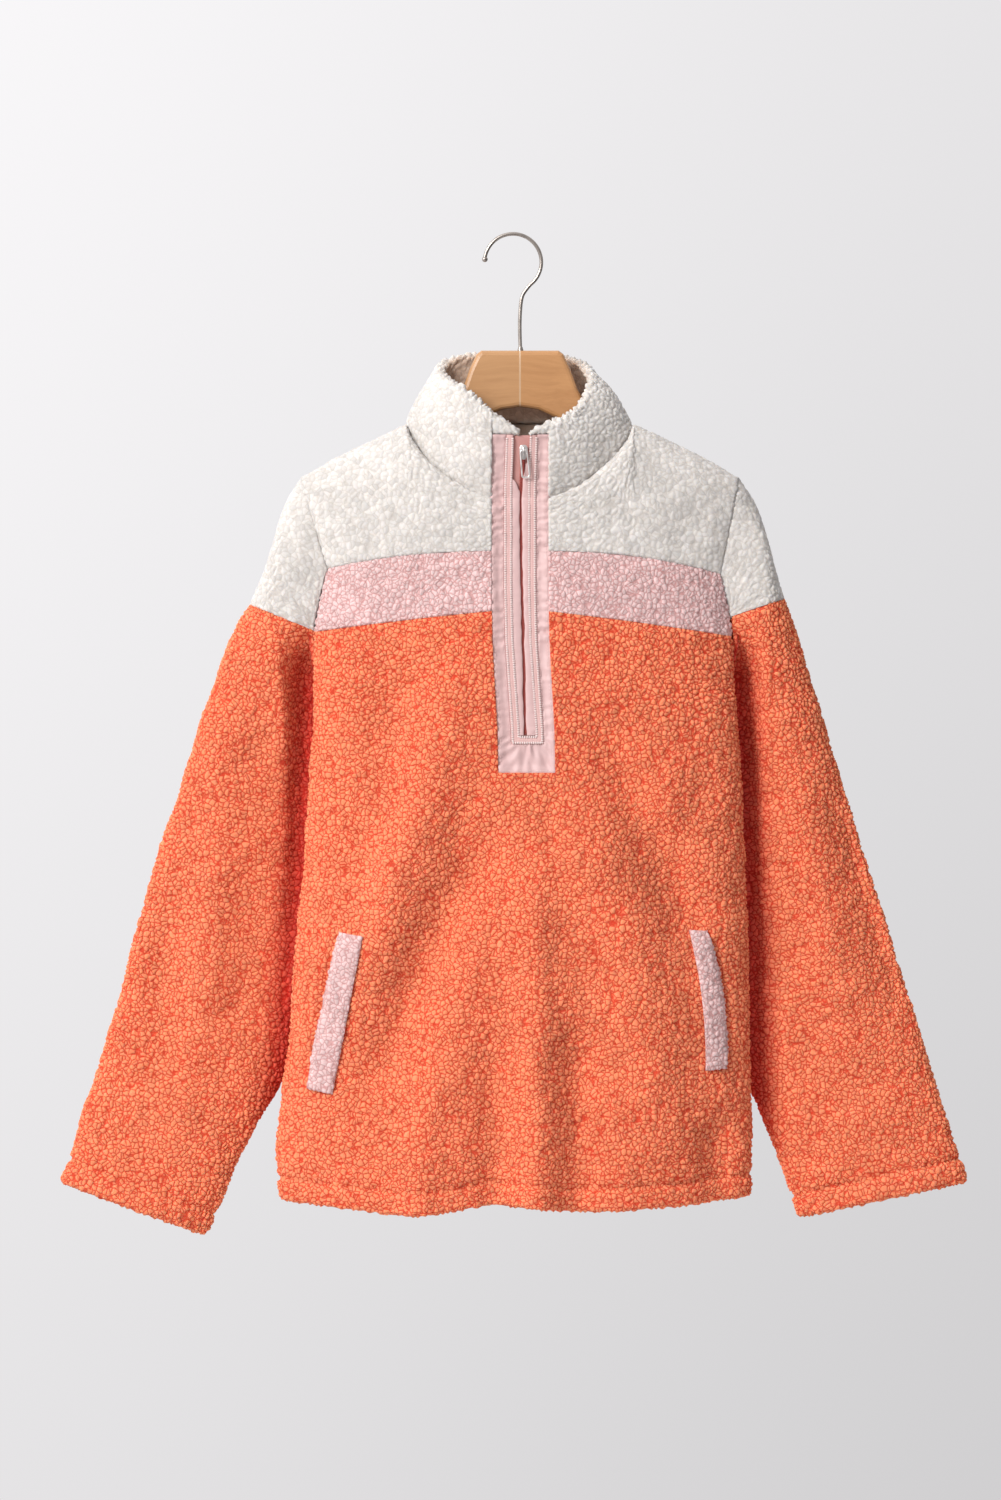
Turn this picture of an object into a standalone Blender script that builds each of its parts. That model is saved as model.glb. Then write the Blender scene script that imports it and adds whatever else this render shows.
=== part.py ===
"""A half-zip sherpa sweatshirt on a flat wooden hanger.

Metres, +Z up, the front faces -Y. The tables are in millimetres, measured from the middle of the
hanger, level with the inside of the hook's crown. The whole part hangs from that crown, which is the
world's origin, so everything is parented to one empty that moves it there.
"""

from collections import namedtuple

import bmesh
import bpy
import numpy as np

MM = 0.001
CROWN_X = -6.0  # the hook's crown is this far from the middle of the wood

GAP = 0.3  # between two pieces at a seam
UNDERARM_GAP = 0.6  # more, where the seam turns under the arm
SHERPA = 5.0  # pile and backing
SEAM_SHERPA = 2.6  # pressed thin where a sleeve is sewn in
HEM_SHERPA = 7.0  # turned up and stitched, so two layers pressed together
COLLAR = 9.0  # the stand collar is double
NYLON = 1.6

HEM_BAND = 20.0  # from the edge to its row of stitches
CUFF_BAND = 21.0
STITCH_DEPTH = 1.8

# The body, a row for each level. mid is its height at the centre front. At the sides it drops by
# left_drop and right_drop, along a curve of the power bend. left and right are the outline's distance
# from the centre. front and side are the depths of the centre front and of the outermost edge. The
# seam (side seam, and above the underarm the front armhole) lies seam_in behind that edge, at
# the depth seam_y. back is the centre back, flank the back beside it, where the sleeves tuck behind.
# The back armhole lies back_in from the edge, at the depth back_y.
Level = namedtuple(
    "Level",
    "mid left_drop right_drop bend left right front side seam_in seam_y back flank back_in back_y",
)
LEVELS = (
    Level(-831, 7, 10, 3.0, 205, 197, -57, -12, 10, 4, 34, 22, 10, 4),
    Level(-775, 4, 5, 3.0, 206, 198, -60, -14, 11, 3, 36, 14, 11, 3),
    Level(-690, 2, 2, 2.0, 197, 196, -62, -16, 12, 1, 37, 5, 12, 1),
    Level(-600, 0, 0, 2.0, 190, 194, -63, -18, 13, -1, 38, 1, 13, -1),
    Level(-520, 0, 0, 2.0, 183, 190, -62, -19, 15, -1, 38, 0, 15, -1),
    Level(-458, 5, 5, 2.0, 179, 187, -60, -20, 30, 2, 38, 2, 30, 2),
    Level(-410, 9, 9, 1.8, 175, 184, -58, -21, 14, -2, 37, 10, 36, 20),
    Level(-365, -14, -17, 1.4, 175, 182, -56, -20, 5, -10, 36, 17, 33, 26),
    Level(-319, -19, -23, 1.2, 175, 181, -54, -16, 0, -17, 35, 22, 28, 29),
    Level(-269.5, -16, -21, 2.5, 169, 176, -50, -13, 0, -22, 34, 26, 19, 29),
)
UNDERARM = -458.0
BAND_BOTTOM = -319.0
BAND_TOP = -269.5

# The lower edge is not level: it dips and lifts a little as it hangs.
HemPoint = namedtuple("HemPoint", "x lift")
HEM_EDGE = (
    HemPoint(-205, 2),
    HemPoint(-137, -1),
    HemPoint(-94, -4),
    HemPoint(-7, 6),
    HemPoint(40, 0),
    HemPoint(117, 1),
    HemPoint(197, 2),
)
HEM_EDGE_FADE = 60.0

# The neck seam is an oval whose front dips.
NECK_HALF = 97.0
NECK_FRONT = 48.0
NECK_BACK = 31.0
NECK_SIDE_Z = -162.0
NECK_FRONT_DROP = 66.0
NECK_BACK_RISE = 4.0
NECK_DIP = 1.5
TIP = (187.0, 0.0, -207.0)  # the end of the shoulder seam
SHOULDER_ROUND = 2.5

# The collar's upper edge. turn goes round from the centre front by the wearer's right, in degrees.
CollarEdge = namedtuple("CollarEdge", "turn x y z")
COLLAR_EDGE = (
    CollarEdge(0, 0, -51, -169),
    CollarEdge(7, -12, -50.3, -159),
    CollarEdge(14.4, -24, -48.2, -151),
    CollarEdge(30, -36, -43.5, -141),
    CollarEdge(50, -49, -35, -130),
    CollarEdge(70, -63, -20, -121),
    CollarEdge(90, -70, 0, -112),
    CollarEdge(115, -65, 20, -104),
    CollarEdge(145, -38, 33, -100),
    CollarEdge(180, -3, 37, -100),
    CollarEdge(215, 31, 33, -101),
    CollarEdge(245, 54, 20, -105),
    CollarEdge(270, 62, 0, -116),
    CollarEdge(290, 59, -20, -131),
    CollarEdge(310, 49, -36, -147),
    CollarEdge(330, 36, -43.5, -156),
    CollarEdge(345.6, 24, -48.2, -160),
    CollarEdge(352, 14, -50, -165),
    CollarEdge(355.3, 8, -50.7, -170),
)
COLLAR_BULGE = 3.0
UNDER_PLACKET = 6.8  # the collar's outer layer stops at the placket

# Each sleeve, a row for each ring below the armhole, from its outer edge to its inner one. x counts
# away from the centre. bow pushes the middle of a ring towards the cuff.
Ring = namedtuple("Ring", "outer_x outer_z outer_y inner_x inner_z inner_y thick bow")
LEFT_RINGS = (
    Ring(204, -240, 0, 147, -466, 8, 54, 16),
    Ring(222, -298, 0, 142, -481, 14, 52, 22),
    Ring(250, -352, 2, 133, -506, 20, 46, 18),
    Ring(287, -464, 6, 125, -556, 24, 40, 4),
    Ring(320, -566, 10, 156, -632, 24, 38, 0),
    Ring(341, -645, 12, 194, -703, 20, 37, 0),
    Ring(366, -728, 12, 232, -772, 15, 35, 0),
    Ring(385, -787, 10, 260, -833, 11, 33, 0),
    Ring(392, -808, 9, 270, -853, 10, 33, 0),
)
RIGHT_RINGS = (
    Ring(206, -242, 0, 152, -466, 8, 54, 16),
    Ring(219, -290, 0, 147, -481, 14, 52, 22),
    Ring(242, -360, 2, 137, -506, 20, 46, 18),
    Ring(272, -458, 6, 128, -548, 24, 40, 4),
    Ring(302, -555, 10, 141, -612, 24, 38, 0),
    Ring(328, -635, 12, 172, -688, 20, 37, 0),
    Ring(352, -715, 12, 203, -742, 15, 35, 0),
    Ring(374, -785, 10, 230, -814, 11, 34, 0),
    Ring(382, -807, 9, 239, -838, 10, 34, 0),
)
LAST_RING = 9
# A sleeve's own rows: shares of the way to a line above the cuff, then the rows of the cuff in rings.
ABOVE_CUFF = 7.2
SLEEVE_SHARES = (0, 0.06, 0.13, 0.21, 0.31, 0.42, 0.54, 0.65, 0.76, 0.88, 1.0)
CUFF_ROWS = (7.5, 8.0, 8.25, 8.8, 9.0)
# The straight seam between the white cap and the orange sleeve, on its line across the sleeve. It
# meets the armhole this many rows above the pink band's lower seam.
CapSeam = namedtuple("CapSeam", "outer_x outer_z inner_x inner_z above_band")
LEFT_CAP = CapSeam(236, -312, 175, -337, 0)
RIGHT_CAP = CapSeam(221, -311, 182, -324, 1)
CAP_END = 1.5  # the cap's corners stay this deep

# Soft folds: each runs through its points (x, z), half as deep at one width from its line.
Fold = namedtuple("Fold", "height width points")
FRONT_FOLDS = (
    Fold(-9.0, 19, ((-17, -478), (-43, -541), (-77, -604), (-111, -689), (-145, -780))),
    Fold(6.0, 20, ((-45, -330), (-75, -456), (-111, -562), (-136, -689))),
    Fold(-4.0, 18, ((-111, -328), (-115, -456), (-145, -575))),
    Fold(4.0, 16, ((-68, -700), (-81, -774), (-85, -860))),
    Fold(-6.5, 15, ((-21, -640), (-21, -796), (-17, -860))),
    Fold(5.0, 15, ((13, -495), (13, -700), (15, -860))),
    Fold(-6.5, 15, ((50, -650), (51, -760), (51, -860))),
    Fold(6.0, 22, ((42, -464), (68, -541), (102, -626), (115, -711), (119, -830))),
    Fold(-6.0, 17, ((62, -390), (93, -477), (136, -562), (150, -610))),
    Fold(-6.0, 15, ((168, -735), (171, -860))),
)
BACK_FOLDS = (
    Fold(-6.0, 19, ((-20, -430), (-55, -560), (-70, -700), (-72, -860))),
    Fold(5.0, 18, ((20, -380), (0, -560), (-12, -860))),
    Fold(-6.0, 18, ((60, -460), (55, -640), (62, -860))),
    Fold(4.0, 18, ((-120, -560), (-125, -700), (-128, -860))),
    Fold(4.0, 18, ((125, -540), (118, -700), (122, -860))),
)
LEFT_FOLDS = (
    Fold(4.0, 18, ((-243, -380), (-256, -480), (-264, -600), (-276, -760))),
    Fold(-4.5, 16, ((-300, -560), (-304, -640), (-310, -730))),
)
RIGHT_FOLDS = (
    Fold(4.0, 18, ((226, -371), (242, -477), (263, -604), (291, -740))),
    Fold(-4.5, 16, ((268, -456), (300, -570), (330, -690))),
)

# The zip and its placket, on the centre front.
PLACKET_HALF = 24.0
PLACKET_TOP = -175.0
PLACKET_BOTTOM = -458.0
NYLON_DROP = 3.0  # below the pile's outer surface
FRAME_HALF = 13.0
FRAME_BOTTOM = -433.0
FRAME_WIDTH = 5.5
LIP_BOTTOM = -427.0
ZIP_GAP = 2.0
TAPE_HALF = 6.5
# The zip's line wanders from the centre by this much.
ZipPoint = namedtuple("ZipPoint", "z x")
ZIP_LINE = (
    ZipPoint(-460, 4.6),
    ZipPoint(-428, 4.4),
    ZipPoint(-345, 2.6),
    ZipPoint(-277, 1.0),
    ZipPoint(-226, 0.8),
    ZipPoint(-175, 3.8),
)
SLIDER_Z = -186.0
SLIDER_LENGTH = 13.0
SLIDER_WIDTH = 8.0
SLIDER_THICK = 4.0
TAB_LENGTH = 23.0
TAB_WIDTH = 6.5
TAB_WIRE = 0.8

# The pocket welts by their corners (x, z), and how far their outer edge bows.
Welt = namedtuple("Welt", "top_out top_in low_in low_out bow")
WELTS = {
    "left": Welt((-153, -593), (-132.5, -597), (-159, -731), (-181, -726), 0.0),
    "right": Welt((159, -592), (143, -592), (157, -711), (175, -709), 4.0),
}
WELT_THICK = 4.0
WELT_LIFT = 0.8

# The hanger: its upper line, from the middle to the tip, and its lower one back.
WOOD_THICK = 12.0
WOOD_TOP = -98.0
WOOD_BEVEL = 4.0
WOOD_UPPER = ((0.0, -98.0), (33.0, -98.0), (37.0, -101.0), (43.0, -114.0), (49.0, -131.0))
WOOD_NECK = ((62.0, -153.0), (80.0, -169.0), (92.0, -175.5))
WOOD_TIP = ((181.0, -214.5), (183.0, -221.0), (179.0, -228.0), (168.0, -230.0))
WOOD_LOWER = ((120.0, -215.0), (80.0, -196.0), (52.0, -173.0), (31.0, -155.5), (16.0, -148.5), (0.0, -146.0))
SEAT = SHERPA + 2.0
WIRE = 3.2
HOOK_RADIUS = 24.2
HOOK_Z = -22.6


def flow(knots, values, at):
    """A smooth curve through values, one at each knot, read at the places given."""
    knots = np.asarray(knots, float)
    values = np.asarray(values, float)
    shape = (-1,) + (1,) * (values.ndim - 1)
    step = np.diff(knots).reshape(shape)
    slope = np.diff(values, axis=0) / step
    tangent = np.empty_like(values)
    tangent[1:-1] = (step[1:] * slope[:-1] + step[:-1] * slope[1:]) / (step[1:] + step[:-1])
    tangent[0] = 1.5 * slope[0] - 0.5 * tangent[1] if len(knots) > 2 else slope[0]
    tangent[-1] = 1.5 * slope[-1] - 0.5 * tangent[-2] if len(knots) > 2 else slope[-1]
    at = np.clip(np.asarray(at, float), knots[0], knots[-1])
    i = np.clip(np.searchsorted(knots, at, side="right") - 1, 0, len(knots) - 2)
    h = (knots[i + 1] - knots[i]).reshape(at.shape + (1,) * (values.ndim - 1))
    f = (at - knots[i]).reshape(h.shape) / h
    return (
        (2 * f**3 - 3 * f**2 + 1) * values[i]
        + (f**3 - 2 * f**2 + f) * h * tangent[i]
        + (3 * f**2 - 2 * f**3) * values[i + 1]
        + (f**3 - f**2) * h * tangent[i + 1]
    )


def smooth(x):
    x = np.clip(x, 0.0, 1.0)
    return x * x * (3 - 2 * x)


def unit(v):
    return v / np.maximum(np.linalg.norm(v, axis=-1, keepdims=True), 1e-9)


def along(points, fractions):
    """Places on a polyline at these fractions of its length."""
    steps = np.linalg.norm(np.diff(points, axis=0), axis=1)
    run = np.concatenate([[0], np.cumsum(steps)])
    run /= run[-1]
    return np.stack([np.interp(fractions, run, points[:, k]) for k in range(3)], axis=-1)


def fold_height(folds, x, z):
    """How far the folds lift the cloth at (x, z)."""
    total = np.zeros(np.broadcast(x, z).shape)
    for fold in folds:
        line = np.array(fold.points, float)
        ends = np.linspace(0, 1, len(line))
        fine = flow(ends, line, np.linspace(0, 1, 40))
        run = np.linspace(0, 1, 40)
        offset = np.stack([x, z], -1)[..., None, :] - fine
        distance = np.linalg.norm(offset, axis=-1)
        nearest = distance.argmin(-1)
        taper = smooth((1 - np.abs(2 * run[nearest] - 1)) / 0.55)
        open_end = line[-1, 1] < -830
        if open_end:
            taper = np.where(run[nearest] > 0.5, 1.0, taper)
        total = total + fold.height * taper * np.exp(-0.7 * (distance.min(-1) / fold.width) ** 2)
    return total


def level(mid):
    table = np.array(LEVELS, float)
    return Level(*np.moveaxis(flow(table[:, 0], table, np.asarray(mid, float)), -1, 0))


def hem_lift(x, mid):
    table = np.array(HEM_EDGE, float)
    fade = smooth(1 - (mid - LEVELS[0].mid) / HEM_EDGE_FADE)
    return flow(table[:, 0], table[:, 1], x) * fade


def stitch_dip(distance):
    """The groove that a row of stitches pulls into the pile."""
    return -STITCH_DEPTH * np.exp(-((distance / 3.0) ** 2))


def half_front(mid, side):
    """The front from its centre to the side seam or armhole, at one level; side is -1 or 1."""
    row = level(mid)
    edge = row.left if side < 0 else row.right
    drop = row.left_drop if side < 0 else row.right_drop
    depth = row.side - row.front
    behind = row.seam_y - row.side
    last = np.pi / 2 if behind > 0 else np.arccos(np.clip(-behind / depth, 0, 1))
    angle = np.linspace(0, last, 60)
    x = edge * np.sin(angle)
    y = row.side - depth * np.cos(angle)
    if behind > 0:
        turn = np.linspace(0, 1.15, 16)[1:]
        x = np.append(x, edge - row.seam_in * (1 - np.cos(turn)) / (1 - np.cos(1.15)))
        y = np.append(y, row.side + behind * np.sin(turn) / np.sin(1.15))
    z = mid + drop * (x / edge) ** row.bend + hem_lift(side * x, mid)
    return np.stack([side * x, y, z], axis=-1)


def half_back(mid, side):
    """The back from its centre to the same seam."""
    row = level(mid)
    edge = row.left if side < 0 else row.right
    drop = row.left_drop if side < 0 else row.right_drop
    if mid <= UNDERARM:
        seam = half_front(mid, side)[-1]
    else:
        share = smooth((mid - UNDERARM) / 48)
        low = np.array([edge - row.seam_in, row.seam_y])
        high = np.array([edge - row.back_in, row.back_y])
        x, y = low + (high - low) * (1 if mid > UNDERARM + 48 else share)
        seam = np.array([side * x, y, mid + drop * (x / edge) ** row.bend])
    reach = abs(seam[0])
    places = np.array([0.0, 0.33, 0.58, 0.72, 0.88, 1.0])
    mix = np.array([0.0, 0.04, 0.35, 0.85, 1.0])
    y = np.append(row.back + (row.flank - row.back) * mix, seam[1])
    fine = np.linspace(0, 1, 70)
    x = reach * fine
    z = mid + drop * (x / edge) ** row.bend + hem_lift(side * x, mid)
    points = np.stack([side * x, flow(places, y, fine), z], axis=-1)
    points[-1] = seam
    return points


def neck(turn):
    """The neck seam at an angle in degrees from the centre front."""
    angle = np.radians(turn)
    ahead = np.cos(angle)
    y = np.where(ahead > 0, -NECK_FRONT, -NECK_BACK) * ahead
    dip = np.abs(ahead) ** NECK_DIP
    z = NECK_SIDE_Z + np.where(ahead > 0, -NECK_FRONT_DROP, NECK_BACK_RISE) * dip
    return np.stack([-NECK_HALF * np.sin(angle), y, z], axis=-1)


def shoulder(share, side):
    """The shoulder seam, from the neck to its tip."""
    start = neck(90.0)
    start[0] = side * NECK_HALF
    end = np.array([side * TIP[0], TIP[1], TIP[2]])
    share = np.asarray(share)[..., None]
    sag = 2.0 * np.sin(np.pi * share) * np.array([0, 0, 1])
    return start + (end - start) * share + sag


def yoke(low, high, f):
    """A point above the band: it rises from low and rolls over to high as f goes from 0 to 1."""
    rise = np.sin(f * np.pi / 2)
    back = (1 - rise**SHOULDER_ROUND) ** (1 / SHOULDER_ROUND)
    point = low + (high - low) * rise
    point[..., 1] = high[..., 1] + (low[..., 1] - high[..., 1]) * back
    return point


class Net:
    """A grid of points with their outward directions; rows go up, columns from left to right."""

    def __init__(self, points, outward):
        self.points = points
        across = np.gradient(points, axis=1)
        up = np.gradient(points, axis=0)
        self.normals = unit(np.cross(across, up))
        if (self.normals * outward).sum() < 0:
            self.normals = -self.normals

    def face(self, column, side):
        """Turns a sleeve's directions outwards, told by its outer edge."""
        if (self.normals[:, column, 0] * side).sum() < 0:
            self.normals = -self.normals

    def moved(self, distance):
        return self.points + self.normals * np.asarray(distance)[..., None]


def torso(rows, yoke_rows, shares, neck_turns, shoulder_shares, folds, front):
    """The whole front or back. shares are the columns' places from the centre column to the seam."""
    half = half_front if front else half_back
    start = PLACKET_HALF + GAP / 2 if front else 0.0
    halves = []
    for side in (-1, 1):
        lines = []
        for mid in rows:
            line = half(mid, side)
            away = np.abs(line[:, 0])
            inner = slice(0, away.argmax() + 1)
            first = [np.interp(start, away[inner], line[inner, k]) for k in range(3)]
            lines.append(along(np.vstack([first, line[away > start + 0.01]]), shares))
        low = lines[-1]
        turns = neck_turns if side < 0 else 360 - neck_turns
        high = np.vstack([neck(turns), shoulder(shoulder_shares, side)[1:]])
        for f in yoke_rows[1:]:
            lines.append(yoke(low, high, f))
        halves.append(np.array(lines))
    left, right = halves
    if front:
        xs = np.linspace(-1, 1, 5)[1:-1]
        middle = []
        for row in range(left.shape[0]):
            a, b = left[row, 0], right[row, 0]
            bulge = 0.35 if row < len(rows) else 1.2 * yoke_rows[row - len(rows) + 1]
            line = a + (b - a) * ((xs[:, None] + 1) / 2)
            line[:, 1] -= bulge * (1 - xs**2)
            middle.append(line)
        grid = np.concatenate([left[:, ::-1], np.array(middle), right], axis=1)
    else:
        grid = np.concatenate([left[:, ::-1], right[:, 1:]], axis=1)
    net = Net(grid, (0, -1, 0) if front else (0, 1, 0))
    step = np.linalg.norm(np.diff(grid, axis=1), axis=-1)
    run = np.concatenate([np.zeros((len(grid), 1)), np.cumsum(step, axis=1)], axis=1)
    inside = np.minimum(run, run[:, -1:] - run)
    lift = fold_height(folds, grid[..., 0], grid[..., 2]) * smooth(inside / 35)
    lift = lift * smooth((BAND_TOP - 5 - grid[..., 2]) / 40)
    edge_distance = grid[..., 2] - grid[:1, :, 2]
    lift = lift + stitch_dip(edge_distance - HEM_BAND) * smooth(inside / 10)
    net.points = net.moved(lift)
    return Net(net.points, (0, -1, 0) if front else (0, 1, 0))


def sleeve_column(rings, side, turn, start):
    """One line of points down a sleeve, a point on each ring; turn is 0 at its outer edge."""
    c, s = np.cos(2 * np.pi * turn), np.sin(2 * np.pi * turn)
    across = np.sign(c) * abs(c) ** 0.85
    through = np.sign(s) * abs(s) ** 0.85
    column = [start]
    for ring in rings:
        outer = np.array([side * ring.outer_x, ring.outer_y, ring.outer_z])
        inner = np.array([side * ring.inner_x, ring.inner_y, ring.inner_z])
        half = (outer - inner) / 2
        down = unit(np.array([half[2], 0, -half[0]]))
        down = down if down[2] < 0 else -down
        point = (outer + inner) / 2 + half * across + down * ring.bow * s * s
        point[1] -= ring.thick / 2 * through
        column.append(point)
    return np.array(column)


def sleeve_points(rings, side, turn, start, places, folds):
    """Points down a sleeve at these places, counted in rings; its front dents behind the body."""
    column = sleeve_column(rings, side, turn, start)
    points = flow(np.arange(LAST_RING + 1), column, places)
    ahead = max(0.0, np.sin(2 * np.pi * turn))
    x, y, z = points.T
    row = level(np.clip(z, LEVELS[0].mid, LEVELS[-1].mid))
    reach = side * x - (row.left if side < 0 else row.right)
    limit = 5.0 - 42.0 * smooth((reach - 4) / 42)
    tucked = smooth((-342 - z) / 22) * smooth(places / 0.4) * smooth(ahead / 0.15)
    push = limit - y
    push = 0.5 * (push + np.sqrt(push**2 + 16))
    lift = fold_height(folds, x, z) * smooth(ahead / 0.5) * smooth(places - 1)
    lift = lift + stitch_dip((LAST_RING - places) * CUFF_BAND - CUFF_BAND)
    points[:, 1] = y + push * tucked - lift * (1 if ahead > 0 else -1)
    return points


def cap_place(rings, cap, side, turn, start):
    """How far down the sleeve, in rings, the cap's seam lies on this line."""
    places = np.linspace(0, 4, 400)
    points = sleeve_points(rings, side, turn, start, places, ())
    line = np.array([cap.inner_x - cap.outer_x, cap.inner_z - cap.outer_z])
    down = np.array([line[1], -line[0]])
    down = down / np.linalg.norm(down) * (-1 if down[1] > 0 else 1)
    flat = np.stack([side * points[:, 0] - cap.outer_x, points[:, 2] - cap.outer_z], -1)
    past = flat @ down
    run = np.concatenate([[0], np.cumsum(np.linalg.norm(np.diff(points, axis=0), axis=1))])
    beyond = np.nonzero(past > 0)[0]
    at = run[beyond[0]] if len(beyond) else run[-1]
    return np.interp(max(at, CAP_END), run, places)


def draw_back(outer, inner, nearby):
    """Moves one edge of a wall back by half a seam's gap, square to its rim."""
    ahead = unit(outer - inner)
    run = unit(np.gradient(outer, axis=0))
    away = nearby - outer
    for axis in (ahead, run):
        away = away - (away * axis).sum(-1, keepdims=True) * axis
    away = unit(away) * GAP / 2
    outer += away
    inner += away


def part_seams(outer, inner, rows=(True, True), columns=(True, True)):
    """Draws the named edges back by half a seam's gap."""
    for on, edge, nearby in ((rows[0], 0, 1), (rows[1], -1, -2)):
        if on:
            draw_back(outer[edge], inner[edge], outer[nearby])
    for on, edge, nearby in ((columns[0], 0, 1), (columns[1], -1, -2)):
        if on:
            draw_back(outer[:, edge], inner[:, edge], outer[:, nearby])


def new_object(name, bm, material, smooth_faces=True):
    mesh = bpy.data.meshes.new(name)
    bm.to_mesh(mesh)
    bm.free()
    mesh.materials.append(material)
    if smooth_faces:
        mesh.shade_smooth()
        mesh.set_sharp_from_angle(angle=np.radians(50))
    obj = bpy.data.objects.new(name, mesh)
    parts.objects.link(obj)
    obj.parent = hanging_point
    return obj


def shell(name, outer, inner, material, left_out=None, round_it=False):
    """A closed wall between two nets of the same size. left_out(row, column) drops a face."""
    rows, columns = outer.shape[:2]
    bm = bmesh.new()
    bmesh.ops.create_grid(bm, x_segments=columns - 1, y_segments=rows - 1, size=1)
    inside = bm.verts.layers.float_vector.new("inside")
    for vert, here, there in zip(bm.verts, outer.reshape(-1, 3), inner.reshape(-1, 3)):
        vert.co = here * MM
        vert[inside] = there * MM
    if left_out:
        bm.faces.ensure_lookup_table()
        gone = [bm.faces[i] for i in range(len(bm.faces)) if left_out(*divmod(i, columns - 1))]
        bmesh.ops.delete(bm, geom=gone, context="FACES")
    if round_it:
        bmesh.ops.remove_doubles(bm, verts=bm.verts[:], dist=1e-6)
    raised = bmesh.ops.extrude_face_region(bm, geom=bm.faces[:])["geom"]
    for vert in raised:
        if isinstance(vert, bmesh.types.BMVert):
            vert.co = vert[inside]
    bm.verts.layers.float_vector.remove(inside)
    bmesh.ops.triangulate(bm, faces=bm.faces[:], quad_method="SHORT_EDGE")
    bmesh.ops.recalc_face_normals(bm, faces=bm.faces[:])
    if bm.calc_volume(signed=True) < 0:
        bmesh.ops.reverse_faces(bm, faces=bm.faces[:])
    return new_object(name, bm, material)


def material(name, colour, roughness, metallic=0.0):
    mat = bpy.data.materials.new(name)
    mat.use_nodes = True
    shader = mat.node_tree.nodes["Principled BSDF"]
    shader.inputs["Base Color"].default_value = (*colour, 1)
    shader.inputs["Roughness"].default_value = roughness
    shader.inputs["Metallic"].default_value = metallic
    return mat


def coarse_rows():
    low = LEVELS[0].mid
    hem = [low, low + 5, low + HEM_BAND - 5, low + HEM_BAND, low + HEM_BAND + 6]
    body = list(np.linspace(low + 50, -505, 8)) + [-480, PLACKET_BOTTOM - GAP / 2]
    upper = [-432, -405, -382, -360, -339]
    return hem + body + upper


def build_body():
    """Front and back, each a yoke, a band and a body."""
    low_rows = coarse_rows()
    band_rows = [BAND_BOTTOM, -303, -286, BAND_TOP]
    rows = np.array(low_rows + band_rows)
    yoke_rows = np.array([0, 0.2, 0.4, 0.58, 0.74, 0.88, 1.0])
    underarm = low_rows.index(PLACKET_BOTTOM - GAP / 2)
    first_band = len(low_rows)
    first_yoke = len(rows) - 1
    start_turn = np.degrees(np.arcsin((PLACKET_HALF + GAP / 2) / NECK_HALF))
    front_turns = np.linspace(start_turn, 90, 7)
    back_turns = np.linspace(180, 90, 5)
    shoulder_shares = np.linspace(0, 1, 7)
    front_shares = np.append(np.linspace(0, 0.5, 7), [0.6, 0.69, 0.77, 0.85, 0.93, 1.0])
    back_shares = np.append(np.linspace(0, 0.48, 5), [0.58, 0.67, 0.76, 0.84, 0.92, 1.0])
    front = torso(rows, yoke_rows, front_shares, front_turns, shoulder_shares, FRONT_FOLDS, True)
    back = torso(rows, yoke_rows, back_shares, back_turns, shoulder_shares, BACK_FOLDS, False)
    return front, back, underarm, first_band, first_yoke, front_turns, back_turns


def armhole(front, back, underarm, side):
    """The armhole's loop, from the underarm up the front to the shoulder's tip and down the back."""
    column = 0 if side < 0 else -1
    up = front.points[underarm:, column]
    down = back.points[underarm:, column][::-1]
    loop = np.vstack([up, down[1:]])
    tip = len(up) - 1
    run = np.concatenate([[0], np.cumsum(np.linalg.norm(np.diff(loop, axis=0), axis=1))])
    turns = np.where(
        np.arange(len(loop)) <= tip,
        0.5 * (1 - run / run[tip]),
        -0.5 * (run - run[tip]) / (run[-1] - run[tip]),
    )
    return loop, turns, tip


def build_sleeve(side, rings, cap, folds, front, back, underarm, first_band):
    """The orange sleeve and its white cap, and the directions of their rims at the armhole."""
    loop, turns, tip = armhole(front, back, underarm, side)
    cap_first = first_band - underarm + cap.above_band
    cap_last = len(loop) - 1 - cap_first
    seams = np.zeros(len(loop))
    for i in range(cap_first, cap_last + 1):
        seams[i] = cap_place(rings, cap, side, turns[i], loop[i])
    lines = []
    for i, turn in enumerate(turns):
        main = seams[i] + (ABOVE_CUFF - seams[i]) * np.array(SLEEVE_SHARES)
        places = np.concatenate([main, CUFF_ROWS])
        lines.append(sleeve_points(rings, side, turn, loop[i], places, folds))
    grid = np.array(lines).transpose(1, 0, 2)
    grid[:, -1] = grid[:, 0]
    net = Net(grid, 0)
    net.face(tip, side)
    net.normals[:, 0] = unit(net.normals[:, 1] + net.normals[:, -2])
    net.normals[:, -1] = net.normals[:, 0]
    cap_lines = []
    for i in range(cap_first, cap_last + 1):
        places = np.linspace(0, seams[i], 6)
        cap_lines.append(sleeve_points(rings, side, turns[i], loop[i], places, folds))
    cap_net = Net(np.array(cap_lines).transpose(1, 0, 2), 0)
    cap_net.face(tip - cap_first, side)
    cap_columns = slice(cap_first, cap_last + 1)
    shared = unit(cap_net.normals[-1] + net.normals[0, cap_columns])
    cap_net.normals[-1] = shared
    net.normals[0, cap_columns] = shared
    return net, cap_net, cap_first, cap_last


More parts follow.
